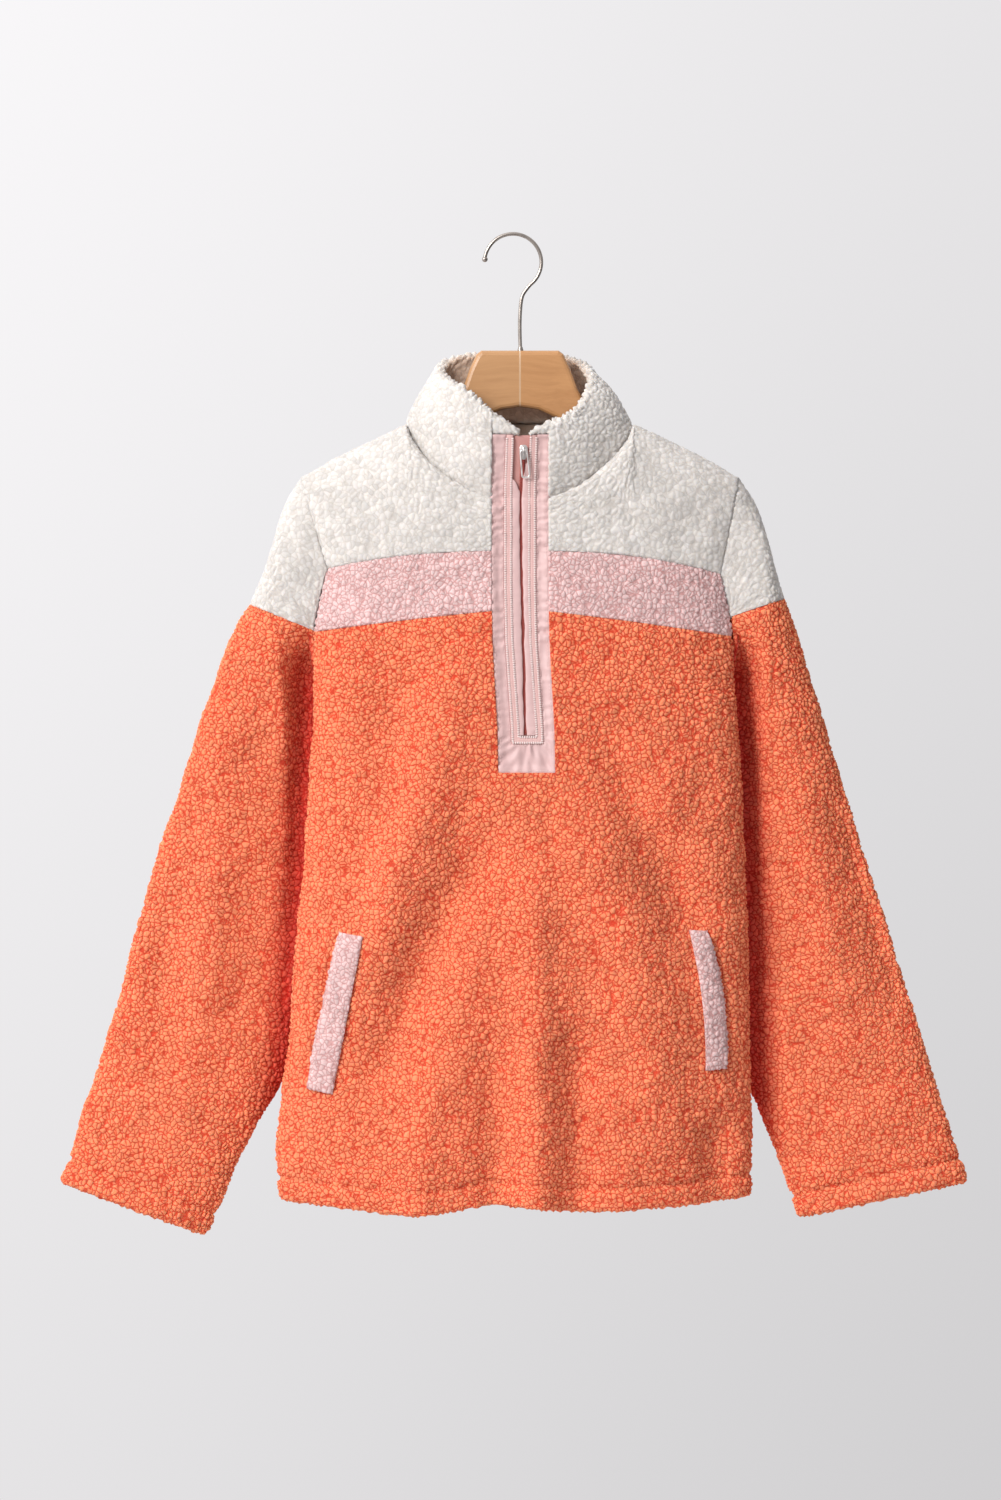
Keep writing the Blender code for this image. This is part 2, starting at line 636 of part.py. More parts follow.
def share_armhole(front, back, underarm, side, sleeve_net, cap_net, cap_first, cap_last):
    """Gives the body and the sleeve one common direction along the armhole.

    Where the seam lies in a crease, each keeps its own instead, so their walls spread apart inside.
    """
    column = 0 if side < 0 else -1
    tip = front.points.shape[0] - underarm - 1
    body = np.vstack([front.normals[underarm:, column], back.normals[underarm:, column][::-1][1:]])
    body[tip] = unit(front.normals[-1, column] + back.normals[-1, column])
    body[[0, -1]] = unit(front.normals[underarm, column] + back.normals[underarm, column])
    sleeve = sleeve_net.normals[0].copy()
    sleeve[cap_first : cap_last + 1] = cap_net.normals[0]
    common = unit(body + sleeve)
    share = smooth(((body * sleeve).sum(axis=-1) + 0.1) / 0.6)[:, None]
    body = unit(body + (common - body) * share)
    sleeve = unit(sleeve + (common - sleeve) * share)
    front.normals[underarm:, column] = body[: tip + 1]
    back.normals[underarm:, column] = body[tip:][::-1]
    cap_net.normals[0] = sleeve[cap_first : cap_last + 1]
    for end, here in ((0, cap_first), (-1, cap_last)):
        cap_net.normals[:, end] = sleeve[here]
        sleeve_net.normals[0, here] = sleeve[here]
    sleeve_net.normals[0, :cap_first] = sleeve[:cap_first]
    sleeve_net.normals[0, cap_last + 1 :] = sleeve[cap_last + 1 :]


def build_collar(front_turns, back_turns):
    """The stand collar, double, with a round upper edge; its front ends pass under the placket."""
    edge = np.array(COLLAR_EDGE, float)
    step = 0.12
    under = [0.6, 7.0, front_turns[0] - step]
    left = list(under) + [front_turns[0] + step] + list(front_turns[1:]) + list(back_turns[::-1][1:])
    right = [360 - t for t in left[:-1]][::-1]
    right[-1] = 355.5
    turns = np.array(left + right)
    base = neck(turns)
    top = flow(edge[:, 0], edge[:, 1:], turns)
    tangent = unit(np.gradient(top, axis=0) + np.gradient(base, axis=0))
    up = unit(top - base)
    outward = unit(np.cross(tangent, up))
    if (outward * (base - base.mean(axis=0)))[:, :2].sum() < 0:
        outward = -outward
    beneath = (turns < front_turns[0]) | (turns > 360 - front_turns[0])
    heights = np.array([0.0, 0.3, 0.6, 0.85])
    sections = []
    for i in range(len(turns)):
        thick = COLLAR
        tall = np.linalg.norm(top[i] - base[i])
        ledge = (PLACKET_TOP + np.array([0.3, 1.0]) - base[i, 2]) / (top[i, 2] - base[i, 2])
        outer = []
        for h in heights:
            level_share = h * (1 - thick / 2 / tall)
            if beneath[i]:
                level_share = h / heights[-1] * ledge[0]
            outer.append((level_share, COLLAR_BULGE * np.sin(np.pi * level_share) * (not beneath[i])))
        drop = UNDER_PLACKET if beneath[i] else 0.0
        thick = thick + 1.6 if beneath[i] else thick
        beside = min(turns[i], 360 - turns[i]) < front_turns[0] + 1
        ahead = np.array([0, -1, 0]) if beside else outward[i]
        loop = [base[i] + (top[i] - base[i]) * s + ahead * (b - drop) for s, b in outer]
        rim = thick / 2 if not beneath[i] else 1.2
        above = ledge[1] if beneath[i] else 1 - rim / tall
        loop.append(base[i] + (top[i] - base[i]) * above)
        middle = base[i] + (top[i] - base[i]) * (1 - rim / tall) - ahead * thick / 2
        for angle in (45, 90, 135):
            a = np.radians(angle)
            loop.append(middle + ahead * thick / 2 * np.cos(a) + up[i] * rim * np.sin(a))
        for s, b in reversed(outer):
            loop.append(base[i] + (top[i] - base[i]) * s + ahead * (b - thick))
        sections.append(loop)
    ring = np.array(sections)
    ring = np.concatenate([ring, ring[:, :1]], axis=1)
    ring[:, [0, -1]] += up[:, None] * GAP / 2
    ring[:, -2] += up * GAP / 2
    rows, columns = ring.shape[:2]
    bm = bmesh.new()
    bmesh.ops.create_grid(bm, x_segments=columns - 1, y_segments=rows - 1, size=1)
    for vert, here in zip(bm.verts, ring.reshape(-1, 3)):
        vert.co = here * MM
    bmesh.ops.remove_doubles(bm, verts=bm.verts[:], dist=1e-6)
    bmesh.ops.holes_fill(bm, edges=bm.edges[:])
    bmesh.ops.recalc_face_normals(bm, faces=bm.faces[:])
    new_object("collar", bm, white)


def centre_front(front):
    """A function that gives the depth of the centre front, collar included, at (x, z)."""
    middle = front.points.shape[1] // 2
    line = front.points[:, middle - 2 : middle + 3]
    heights = line[:, 2, 2]
    depth = line[:, 2, 1]
    side = (line[:, 0, 1] + line[:, 4, 1]) / 2 - depth

    def place(x, z):
        low = np.interp(z, heights, depth) + np.interp(z, heights, side) * (x / PLACKET_HALF) ** 2
        share = np.clip((z - heights[-1]) / (COLLAR_EDGE[0].z - heights[-1]), 0, 1)
        high = COLLAR_EDGE[0].y + 0.005 * x**2
        return low + (high - low) * share

    return place


def strip(name, lefts, rights, heights, top, thick, place, mat, columns=3):
    """A flat strip on the centre front between two edges, top below the pile's surface."""
    share = np.linspace(0, 1, columns)
    x = lefts[:, None] + (rights - lefts)[:, None] * share
    z = np.repeat(np.asarray(heights, float)[:, None], columns, axis=1)
    y = place(x, z)
    outer = np.stack([x, y + top, z], axis=-1)
    inner = np.stack([x, y + top + thick, z], axis=-1)
    return shell(name, outer, inner, mat)


def u_shape(name, half_out, half_in, high, low, low_in, top, thick, place, mat):
    """A U-shaped strip around the zip."""
    sides = np.linspace(high, low_in, 13)
    heights = np.append(sides, np.linspace(low_in, low, 3)[1:])
    xs = np.array([-half_out, -half_in, half_in, half_out])
    xs = np.sort(np.concatenate([xs, [-(half_out + half_in) / 2, 0, (half_out + half_in) / 2]]))
    x, z = np.meshgrid(xs, heights)
    y = place(x, z)
    outer = np.stack([x, y + top, z], axis=-1)
    inner = np.stack([x, y + top + thick, z], axis=-1)

    def opening(row, column):
        return row < len(sides) - 1 and 2 <= column <= 3

    return shell(name, outer, inner, mat, left_out=opening)


def build_zip(place):
    """The placket, its frame, the two lips over the coil, the tape and the slider."""
    u_shape("placket", PLACKET_HALF - GAP / 2, FRAME_HALF + GAP / 2, PLACKET_TOP, PLACKET_BOTTOM,
            FRAME_BOTTOM, NYLON_DROP, NYLON, place, nylon)
    u_shape("zip_frame", FRAME_HALF - GAP / 2, FRAME_HALF - FRAME_WIDTH, PLACKET_TOP, FRAME_BOTTOM + GAP,
            FRAME_BOTTOM + FRAME_WIDTH, NYLON_DROP - 1.0, NYLON + 0.8, place, welt)
    line = np.array(ZIP_LINE, float)
    heights = np.linspace(PLACKET_TOP, LIP_BOTTOM + 0.5, 17)
    centre = flow(line[:, 0], line[:, 1], heights)
    inner_half = FRAME_HALF - FRAME_WIDTH - GAP
    spread = 4.2 * smooth((heights - SLIDER_Z + 26) / 14)
    spread = np.minimum(spread, 4.2)
    left_edge = np.minimum(centre - ZIP_GAP / 2 - spread, inner_half - 3)
    right_edge = np.minimum(centre + ZIP_GAP / 2 + spread * 0.4, inner_half - 1.2)
    strip("zip_lip_left", np.full(17, -inner_half), left_edge, heights, NYLON_DROP - 0.8, NYLON,
          place, nylon)
    lower = heights < SLIDER_Z - SLIDER_LENGTH / 2 - 3
    strip("zip_lip_right", right_edge[lower], np.full(lower.sum(), inner_half), heights[lower],
          NYLON_DROP - 0.8, NYLON, place, nylon)
    strip("zip_tape", centre - TAPE_HALF, np.minimum(centre + TAPE_HALF, 11.5), heights,
          NYLON_DROP - 0.8 + NYLON + 0.8, 1.0, place, coil)
    slide_x = float(flow(line[:, 0], line[:, 1], np.array([SLIDER_Z]))[0])
    slide_y = float(place(slide_x, SLIDER_Z))
    face = slide_y + NYLON_DROP - 0.8 - 0.6
    bm = bmesh.new()
    bmesh.ops.create_cube(bm, size=1)
    for vert in bm.verts:
        vert.co.x *= SLIDER_WIDTH * (1.0 if vert.co.z > 0 else 0.72)
        vert.co.y *= SLIDER_THICK
        vert.co.z *= SLIDER_LENGTH
    bmesh.ops.bevel(bm, geom=bm.edges[:], offset=1.2, segments=2, profile=0.5, affect="EDGES", material=-1)
    bmesh.ops.scale(bm, vec=(MM, MM, MM), verts=bm.verts[:])
    slider = new_object("zip_slider", bm, metal)
    slider.location = (slide_x * MM, (face + SLIDER_THICK / 2 - 1.4) * MM, SLIDER_Z * MM)
    return slide_x, face - 1.4


def rounded_loop(width, length, radius, steps=4):
    """Points of a round-cornered rectangle that hangs from its upper edge's middle."""
    corners = ((1, 0, 0), (1, -1, 270), (-1, -1, 180), (-1, 0, 90))
    points = []
    for x, z, first in corners:
        cx = x * (width / 2 - radius)
        cz = -radius if z == 0 else -length + radius
        for i in range(steps + 1):
            a = np.radians(first + 90 - 90 * i / steps)
            points.append((cx + radius * np.cos(a), 0, cz + radius * np.sin(a)))
    return points


def wire(name, points, radius, mat, cyclic=False):
    curve = bpy.data.curves.new(name, "CURVE")
    curve.dimensions = "3D"
    curve.bevel_depth = radius * MM
    curve.bevel_resolution = 2
    curve.use_fill_caps = True
    spline = curve.splines.new("POLY")
    spline.points.add(len(points) - 1)
    for target, (x, y, z) in zip(spline.points, points):
        target.co = (x * MM, y * MM, z * MM, 1)
    spline.use_cyclic_u = cyclic
    curve.materials.append(mat)
    obj = bpy.data.objects.new(name, curve)
    parts.objects.link(obj)
    obj.parent = hanging_point
    return obj


def build_tab(slide_x, face):
    """The pull tab, a slim wire loop that swings on the slider's bridge."""
    tab = wire("pull_tab", rounded_loop(TAB_WIDTH, TAB_LENGTH, 1.6), TAB_WIRE, metal, cyclic=True)
    tab.location = (slide_x * MM, (face - TAB_WIRE - GAP) * MM, (SLIDER_Z + 1.5) * MM)


def front_depth(x, z, side):
    """The depth of the body's front at (x, z), folds included."""
    mid = np.array(z, float)
    for _ in range(4):
        row = level(mid)
        edge = row.left if side < 0 else row.right
        drop = row.left_drop if side < 0 else row.right_drop
        mid = z - drop * (np.abs(x) / edge) ** row.bend
    round_share = np.sqrt(np.clip(1 - (x / edge) ** 2, 0.0, 1))
    return row.side - (row.side - row.front) * round_share - fold_height(FRONT_FOLDS, x, z)


def build_welt(name, side, corners):
    """A pocket welt: a strip of sherpa that lies on the front."""
    across, down = np.linspace(0, 1, 4), np.linspace(0, 1, 12)
    top = np.array(corners.top_out) + np.outer(across, np.subtract(corners.top_in, corners.top_out))
    low = np.array(corners.low_out) + np.outer(across, np.subtract(corners.low_in, corners.low_out))
    flat = top[None] + (low - top)[None] * down[:, None, None]
    flat[..., 0] += side * corners.bow * np.sin(np.pi * down)[:, None]
    x, z = flat[..., 0], flat[..., 1]
    ahead = np.stack([x, front_depth(x, z, side), z], axis=-1)
    net = Net(ahead, (0, -1, 0))
    shell(f"pocket_welt_{name}", net.moved(np.full(x.shape, WELT_LIFT + WELT_THICK)),
          net.moved(np.full(x.shape, WELT_LIFT)), pink)


def build_wood(name, side):
    """Half of the flat hanger; its arm lies just under the shoulder seam."""
    shares = np.linspace(0.14, 0.9, 6)
    seat = [(abs(p[0]), p[2] - SEAT) for p in shoulder(shares, side)]
    outline = list(WOOD_UPPER) + list(WOOD_NECK) + seat + list(WOOD_TIP) + list(WOOD_LOWER)
    bm = bmesh.new()
    verts = []
    for x, z in outline:
        x = max(x, GAP / 2)
        verts.append(bm.verts.new((side * x * MM, -WOOD_THICK / 2 * MM, z * MM)))
    face = bm.faces.new(verts)
    raised = bmesh.ops.extrude_face_region(bm, geom=[face])["geom"]
    backs = [v for v in raised if isinstance(v, bmesh.types.BMVert)]
    bmesh.ops.translate(bm, verts=backs, vec=(0, WOOD_THICK * MM, 0))
    bmesh.ops.recalc_face_normals(bm, faces=bm.faces[:])
    rims = [
        e for e in bm.edges
        if abs(e.verts[0].co.y - e.verts[1].co.y) < 1e-6
        and max(abs(v.co.x) for v in e.verts) > 1 * MM
    ]
    bmesh.ops.bevel(bm, geom=rims, offset=WOOD_BEVEL * MM, segments=3, profile=0.5, affect="EDGES", material=-1)
    new_object(name, bm, wood)


def build_hook():
    """The hook, open to the left, with a small ball on its end."""
    points = []
    for degrees in np.linspace(176, -52, 22):
        a = np.radians(degrees)
        points.append((CROWN_X + HOOK_RADIUS * np.cos(a), 0, HOOK_Z + HOOK_RADIUS * np.sin(a)))
    points += [(5.6, 0, -45.6), (2.4, 0, -50.5), (1.0, 0, -56.0), (0.4, 0, -62.0), (0.4, 0, WOOD_TOP + GAP)]
    wire("hook", points, WIRE / 2, metal)


for old in list(bpy.data.objects):
    bpy.data.objects.remove(old)
parts = bpy.data.collections.new("half_zip_sweatshirt")
bpy.context.scene.collection.children.link(parts)
hanging_point = bpy.data.objects.new("hanging_point", None)
hanging_point.location = (-CROWN_X * MM, 0, 0)
parts.objects.link(hanging_point)

white = material("white_sherpa", (0.77, 0.73, 0.68), 0.95)
pink = material("pink_sherpa", (0.77, 0.49, 0.47), 0.95)
orange = material("orange_sherpa", (0.80, 0.16, 0.08), 0.95)
nylon = material("pink_nylon", (0.80, 0.52, 0.50), 0.5)
welt = material("pink_binding", (0.80, 0.47, 0.46), 0.6)
coil = material("red_coil", (0.50, 0.10, 0.10), 0.6)
metal = material("brushed_metal", (0.62, 0.56, 0.50), 0.3, 1.0)
wood = material("pale_wood", (0.58, 0.30, 0.14), 0.5)

front, back, underarm, first_band, first_yoke, front_turns, back_turns = build_body()
middle = front.points.shape[1] // 2
place = centre_front(front)

arms = {}
for name, side, rings, cap, folds in (
    ("left", -1, LEFT_RINGS, LEFT_CAP, LEFT_FOLDS),
    ("right", 1, RIGHT_RINGS, RIGHT_CAP, RIGHT_FOLDS),
):
    net, cap_net, cap_first, cap_last = build_sleeve(
        side, rings, cap, folds, front, back, underarm, first_band
    )
    share_armhole(front, back, underarm, side, net, cap_net, cap_first, cap_last)
    arms[name] = (net, cap_net, cap_first, cap_last)

# The side seams and the shoulder seams share one direction too.
for column in (0, -1):
    common = unit(front.normals[:underarm, column] + back.normals[:underarm, column])
    front.normals[:underarm, column] = common
    back.normals[:underarm, column] = common
tips = 6
for ends in (slice(1, tips + 1), slice(-tips - 1, -1)):
    common = unit(front.normals[-1, ends] + back.normals[-1, ends])
    front.normals[-1, ends] = common
    back.normals[-1, ends] = common

for name, (net, cap_net, cap_first, cap_last) in arms.items():
    thick = np.full(net.points.shape[:2], SHERPA)
    thick[-4:] = HEM_SHERPA
    thick[0, : cap_first + 1] = SEAM_SHERPA
    thick[0, cap_last:] = SEAM_SHERPA
    outer, inner = net.points.copy(), net.moved(-thick)
    part_seams(outer, inner, rows=(True, False), columns=(False, False))
    below = np.ones(outer.shape[1])
    below[cap_first + 1 : cap_last] = 0
    for face in (outer, inner):
        face[0] += unit(outer[1] - outer[0]) * (UNDERARM_GAP * below)[:, None]
    outer[:, -1], inner[:, -1] = outer[:, 0], inner[:, 0]
    shell(f"sleeve_{name}", outer, inner, orange, round_it=True)
    thick = np.full(cap_net.points.shape[:2], SHERPA)
    thick[0] = SEAM_SHERPA
    thick[:, [0, -1]] = SEAM_SHERPA
    outer, inner = cap_net.points.copy(), cap_net.moved(-thick)
    part_seams(outer, inner)
    shell(f"sleeve_cap_{name}", outer, inner, white)

for panel, net, cut in (("front", front, True), ("back", back, False)):
    thick = np.full(net.points.shape[:2], SHERPA)
    thick[:4, 2:-2] = HEM_SHERPA
    thick[underarm:, [0, -1]] = SEAM_SHERPA
    inside = net.moved(-thick)
    stretches = (
        ("body", slice(0, first_band + 1), orange, (False, True)),
        ("band", slice(first_band, first_yoke + 1), pink, (True, True)),
        ("yoke", slice(first_yoke, None), white, (True, True)),
    )
    for piece, rows, mat, ends in stretches:
        outer, inner = net.points[rows].copy(), inside[rows].copy()
        if piece == "body" or not cut:
            part_seams(outer, inner, rows=ends)
            notch = (lambda r, c: r >= underarm and middle - 2 <= c < middle + 2) if cut else None
            shell(f"{panel}_{piece}", outer, inner, mat, left_out=notch)
            continue
        for half, columns in (("left", slice(0, middle - 1)), ("right", slice(middle + 2, None))):
            a, b = outer[:, columns].copy(), inner[:, columns].copy()
            seam = (True, False) if half == "left" else (False, True)
            part_seams(a, b, rows=ends, columns=seam)
            shell(f"{panel}_{piece}_{half}", a, b, mat)

build_collar(front_turns, back_turns)
slide_x, slide_face = build_zip(place)
build_tab(slide_x, slide_face)
build_welt("left", -1, WELTS["left"])
build_welt("right", 1, WELTS["right"])
build_wood("hanger_left", -1)
build_wood("hanger_right", 1)
build_hook()
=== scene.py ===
"""The looks of a half-zip sherpa sweatshirt on a flat wooden hanger.

The tables are in millimetres, measured from the middle of the hanger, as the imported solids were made.
Every finished mesh is in metres with x moved by CROWN, so that the hook's crown is the world's origin.
"""

from collections import namedtuple

import bmesh
import bpy
import numpy as np
from mathutils import Matrix, Vector, noise
from mathutils.bvhtree import BVHTree


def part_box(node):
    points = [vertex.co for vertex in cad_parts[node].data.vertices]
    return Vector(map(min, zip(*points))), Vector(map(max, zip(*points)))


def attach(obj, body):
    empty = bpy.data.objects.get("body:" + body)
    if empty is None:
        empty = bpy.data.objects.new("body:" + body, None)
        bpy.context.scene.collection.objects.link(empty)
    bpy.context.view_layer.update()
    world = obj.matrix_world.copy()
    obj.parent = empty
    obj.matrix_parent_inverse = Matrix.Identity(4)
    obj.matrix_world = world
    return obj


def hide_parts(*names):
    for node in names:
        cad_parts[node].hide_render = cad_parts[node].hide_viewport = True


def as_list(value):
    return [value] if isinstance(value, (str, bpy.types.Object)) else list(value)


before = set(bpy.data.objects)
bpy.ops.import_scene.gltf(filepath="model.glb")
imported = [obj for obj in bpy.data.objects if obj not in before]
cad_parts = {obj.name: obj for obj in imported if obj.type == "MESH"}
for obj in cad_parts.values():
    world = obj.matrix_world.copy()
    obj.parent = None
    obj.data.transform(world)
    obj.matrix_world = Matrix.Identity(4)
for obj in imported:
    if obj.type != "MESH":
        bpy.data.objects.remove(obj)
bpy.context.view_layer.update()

MM = 0.001
CROWN = 6.0
STEP = 1.9  # size of the cloth's cells
COARSE = 3  # the inside's cells are this many times larger

GAP = 0.3
SHERPA = 5.0
HEM_SHERPA = 7.0
COLLAR = 9.0
NYLON = 1.6
HEM_Z = -831.0
HEM_BAND = 20.0
HEM_TURNED = 18.0  # how high the hem's double layer reaches
CUFF_BAND = 21.0
HEM_GROOVE = (2.4, 2.6)  # depth and width where the hem or cuff is stitched

# One height of the body: its middle's height, how far each side rises from it and how that rise bends, the
# half widths, the depth at the centre front and at the sides, and how far in and how deep the side seam lies.
# back and flank are the depths of the back's middle and flank, back_in and back_y its end above the underarm.
Level = namedtuple(
    "Level",
    "mid left_rise right_rise bend left right front side seam_in seam_y back flank back_in back_y",
)
LEVELS = (
    Level(-831, 7, 10, 3.0, 205, 197, -57, -12, 10, 4, 34, 22, 10, 4),
    Level(-775, 4, 5, 3.0, 206, 198, -60, -14, 11, 3, 36, 14, 11, 3),
    Level(-690, 2, 2, 2.0, 197, 196, -62, -16, 12, 1, 37, 5, 12, 1),
    Level(-600, 0, 0, 2.0, 190, 194, -63, -18, 13, -1, 38, 1, 13, -1),
    Level(-520, 0, 0, 2.0, 183, 190, -62, -19, 15, -1, 38, 0, 15, -1),
    Level(-458, 5, 5, 2.0, 179, 187, -60, -20, 30, 2, 38, 2, 30, 2),
    Level(-410, 9, 9, 1.8, 175, 184, -58, -21, 14, -2, 37, 10, 36, 20),
    Level(-365, -14, -17, 1.4, 175, 182, -56, -20, 5, -10, 36, 17, 33, 26),
    Level(-319, -19, -23, 1.2, 175, 181, -54, -16, 0, -17, 35, 22, 28, 29),
    Level(-269.5, -16, -21, 2.5, 169, 176, -50, -13, 0, -22, 34, 26, 19, 29),
)
LEVEL_TABLE = np.array(LEVELS, float)
UNDERARM = -458.0
BAND_BOTTOM = -319.0
BAND_TOP = -269.5

# The hem's unevenness: x and height.
HEM_EDGE = np.array(((-205, 2), (-137, -1), (-94, -4), (-7, 6), (40, 0), (117, 1), (197, 2)), float)
HEM_EDGE_FADE = 60.0

NECK_HALF = 97.0
NECK_FRONT = 48.0
NECK_BACK = 31.0
NECK_SIDE_Z = -162.0
NECK_FRONT_DROP = 66.0
NECK_BACK_RISE = 4.0
NECK_DIP = 1.5
TIP = (187.0, 0.0, -207.0)
SHOULDER_ROUND = 2.5

# Lengths that the cloth's cells are counted on.
HALF_RUN = 98.0
YOKE_RUN = 118.0
SLEEVE_RUN = 545.0
CAP_RUN = 105.0
COLLAR_ROUND = 560.0
COLLAR_TALL = 104.0

# The collar's upper edge: turn, x, y, z.
COLLAR_EDGE = np.array((
    (0, 0, -51, -169), (7, -12, -50.3, -159), (14.4, -24, -48.2, -151), (30, -36, -43.5, -141),
    (50, -49, -35, -130), (70, -63, -20, -121), (90, -70, 0, -112), (115, -65, 20, -104),
    (145, -38, 33, -100), (180, -3, 37, -100), (215, 31, 33, -101), (245, 54, 20, -105),
    (270, 62, 0, -116), (290, 59, -20, -131), (310, 49, -36, -147), (330, 36, -43.5, -156),
    (345.6, 24, -48.2, -160), (352, 14, -50, -165), (355.3, 8, -50.7, -170),
), float)
COLLAR_BULGE = 3.0
UNDER_PLACKET = 6.8

# One ring of a sleeve: its outer and inner side, its thickness and how far its middle sags.
Ring = namedtuple("Ring", "outer_x outer_z outer_y inner_x inner_z inner_y thick bow")
LEFT_RINGS = (
    Ring(204, -240, 0, 147, -466, 8, 54, 16),
    Ring(222, -298, 0, 142, -481, 14, 52, 22),
    Ring(250, -352, 2, 133, -506, 20, 46, 18),
    Ring(287, -464, 6, 125, -556, 24, 40, 4),
    Ring(320, -566, 10, 156, -632, 24, 38, 0),
    Ring(341, -645, 12, 194, -703, 20, 37, 0),
    Ring(366, -728, 12, 232, -772, 15, 35, 0),
    Ring(385, -787, 10, 260, -833, 11, 33, 0),
    Ring(392, -808, 9, 270, -853, 10, 33, 0),
)
RIGHT_RINGS = (
    Ring(206, -242, 0, 152, -466, 8, 54, 16),
    Ring(219, -290, 0, 147, -481, 14, 52, 22),
    Ring(242, -360, 2, 137, -506, 20, 46, 18),
    Ring(272, -458, 6, 128, -548, 24, 40, 4),
    Ring(302, -555, 10, 141, -612, 24, 38, 0),
    Ring(328, -635, 12, 172, -688, 20, 37, 0),
    Ring(352, -715, 12, 203, -742, 15, 35, 0),
    Ring(374, -785, 10, 230, -814, 11, 34, 0),
    Ring(382, -807, 9, 239, -838, 10, 34, 0),
)
LAST_RING = 9
# The line where a white cap ends, and the height at which it meets the body.
CapSeam = namedtuple("CapSeam", "outer_x outer_z inner_x inner_z top_row")
LEFT_CAP = CapSeam(236, -312, 175, -337, -319.0)
RIGHT_CAP = CapSeam(221, -311, 182, -324, -303.0)

# A fold: its height, its width and the points (x, z) that it runs through.
Fold = namedtuple("Fold", "height width points")
FRONT_FOLDS = (
    Fold(-9.0, 19, ((-17, -478), (-43, -541), (-77, -604), (-111, -689), (-145, -780))),
    Fold(6.0, 20, ((-45, -330), (-75, -456), (-111, -562), (-136, -689))),
    Fold(-4.0, 18, ((-111, -328), (-115, -456), (-145, -575))),
    Fold(4.0, 16, ((-68, -700), (-81, -774), (-85, -860))),
    Fold(-6.5, 15, ((-21, -640), (-21, -796), (-17, -860))),
    Fold(5.0, 15, ((13, -495), (13, -700), (15, -860))),
    Fold(-6.5, 15, ((50, -650), (51, -760), (51, -860))),
    Fold(6.0, 22, ((42, -464), (68, -541), (102, -626), (115, -711), (119, -830))),
    Fold(-6.0, 17, ((62, -390), (93, -477), (136, -562), (150, -610))),
    Fold(-6.0, 15, ((168, -735), (171, -860))),
)
BACK_FOLDS = (
    Fold(-6.0, 19, ((-20, -430), (-55, -560), (-70, -700), (-72, -860))),
    Fold(5.0, 18, ((20, -380), (0, -560), (-12, -860))),
    Fold(-6.0, 18, ((60, -460), (55, -640), (62, -860))),
    Fold(4.0, 18, ((-120, -560), (-125, -700), (-128, -860))),
    Fold(4.0, 18, ((125, -540), (118, -700), (122, -860))),
)
LEFT_FOLDS = (
    Fold(4.0, 18, ((-243, -380), (-256, -480), (-264, -600), (-276, -760))),
    Fold(-4.5, 16, ((-300, -560), (-304, -640), (-310, -730))),
)
RIGHT_FOLDS = (
    Fold(4.0, 18, ((226, -371), (242, -477), (263, -604), (291, -740))),
    Fold(-4.5, 16, ((268, -456), (300, -570), (330, -690))),
)

PLACKET_HALF = 24.0
PLACKET_TOP = -172.6
PLACKET_BOTTOM = -458.0
NYLON_DROP = 3.0
LIP_DROP = NYLON_DROP - 0.8
TUCK = 1.6  # how far the nylon runs under the pile
FRAME_HALF = 13.0
FRAME_BOTTOM = -433.0
FRAME_WIDTH = 5.5
FRAME_EASE = 0.5
LIP_BOTTOM = -427.0
ZIP_GAP = 2.0
TAPE_HALF = 6.5
# The zip's line: height and x.
ZIP_LINE = np.array(((-460, 4.6), (-428, 4.4), (-345, 2.6), (-277, 1.0), (-226, 0.8), (-175, 3.8)), float)
SLIDER_Z = -186.0
PIVOT = (-50.9, -184.5)  # the pull tab's hinge: y and z

Welt = namedtuple("Welt", "top_out top_in low_in low_out bow")
WELT_THICK = 3.2
WELT_LONG = 138.0
WELTS = {
    "left": Welt((-153, -593), (-132.5, -597), (-159, -731), (-181, -726), 0.0),
    "right": Welt((159, -592), (143, -592), (157, -711), (175, -709), 4.0),
}
HOOK_RADIUS = 24.2
HOOK_Z = -22.6
HOOK_STEM = ((5.6, 0, -45.6), (2.4, 0, -50.5), (1.0, 0, -56.0), (0.4, 0, -62.0), (0.4, 0, -97.7))


# Forms

def flow(knots, values, at):
    """A smooth curve through values, one at each knot, read at the places given."""
    knots = np.asarray(knots, float)
    values = np.asarray(values, float)
    step = np.diff(knots).reshape((-1,) + (1,) * (values.ndim - 1))
    slope = np.diff(values, axis=0) / step
    tangent = np.empty_like(values)
    tangent[1:-1] = (step[1:] * slope[:-1] + step[:-1] * slope[1:]) / (step[1:] + step[:-1])
    tangent[0] = 1.5 * slope[0] - 0.5 * tangent[1] if len(knots) > 2 else slope[0]
    tangent[-1] = 1.5 * slope[-1] - 0.5 * tangent[-2] if len(knots) > 2 else slope[-1]
    at = np.clip(np.asarray(at, float), knots[0], knots[-1])
    i = np.clip(np.searchsorted(knots, at, side="right") - 1, 0, len(knots) - 2)
    h = (knots[i + 1] - knots[i]).reshape(at.shape + (1,) * (values.ndim - 1))
    f = (at - knots[i]).reshape(h.shape) / h
    return (
        (2 * f**3 - 3 * f**2 + 1) * values[i]
        + (f**3 - 2 * f**2 + f) * h * tangent[i]
        + (3 * f**2 - 2 * f**3) * values[i + 1]
        + (f**3 - f**2) * h * tangent[i + 1]
    )


def smooth(x):
    """From 0 to 1 with a soft start and end."""
    x = np.clip(x, 0.0, 1.0)
    return x * x * (3 - 2 * x)


def unit(v):
    return v / np.maximum(np.linalg.norm(v, axis=-1, keepdims=True), 1e-9)


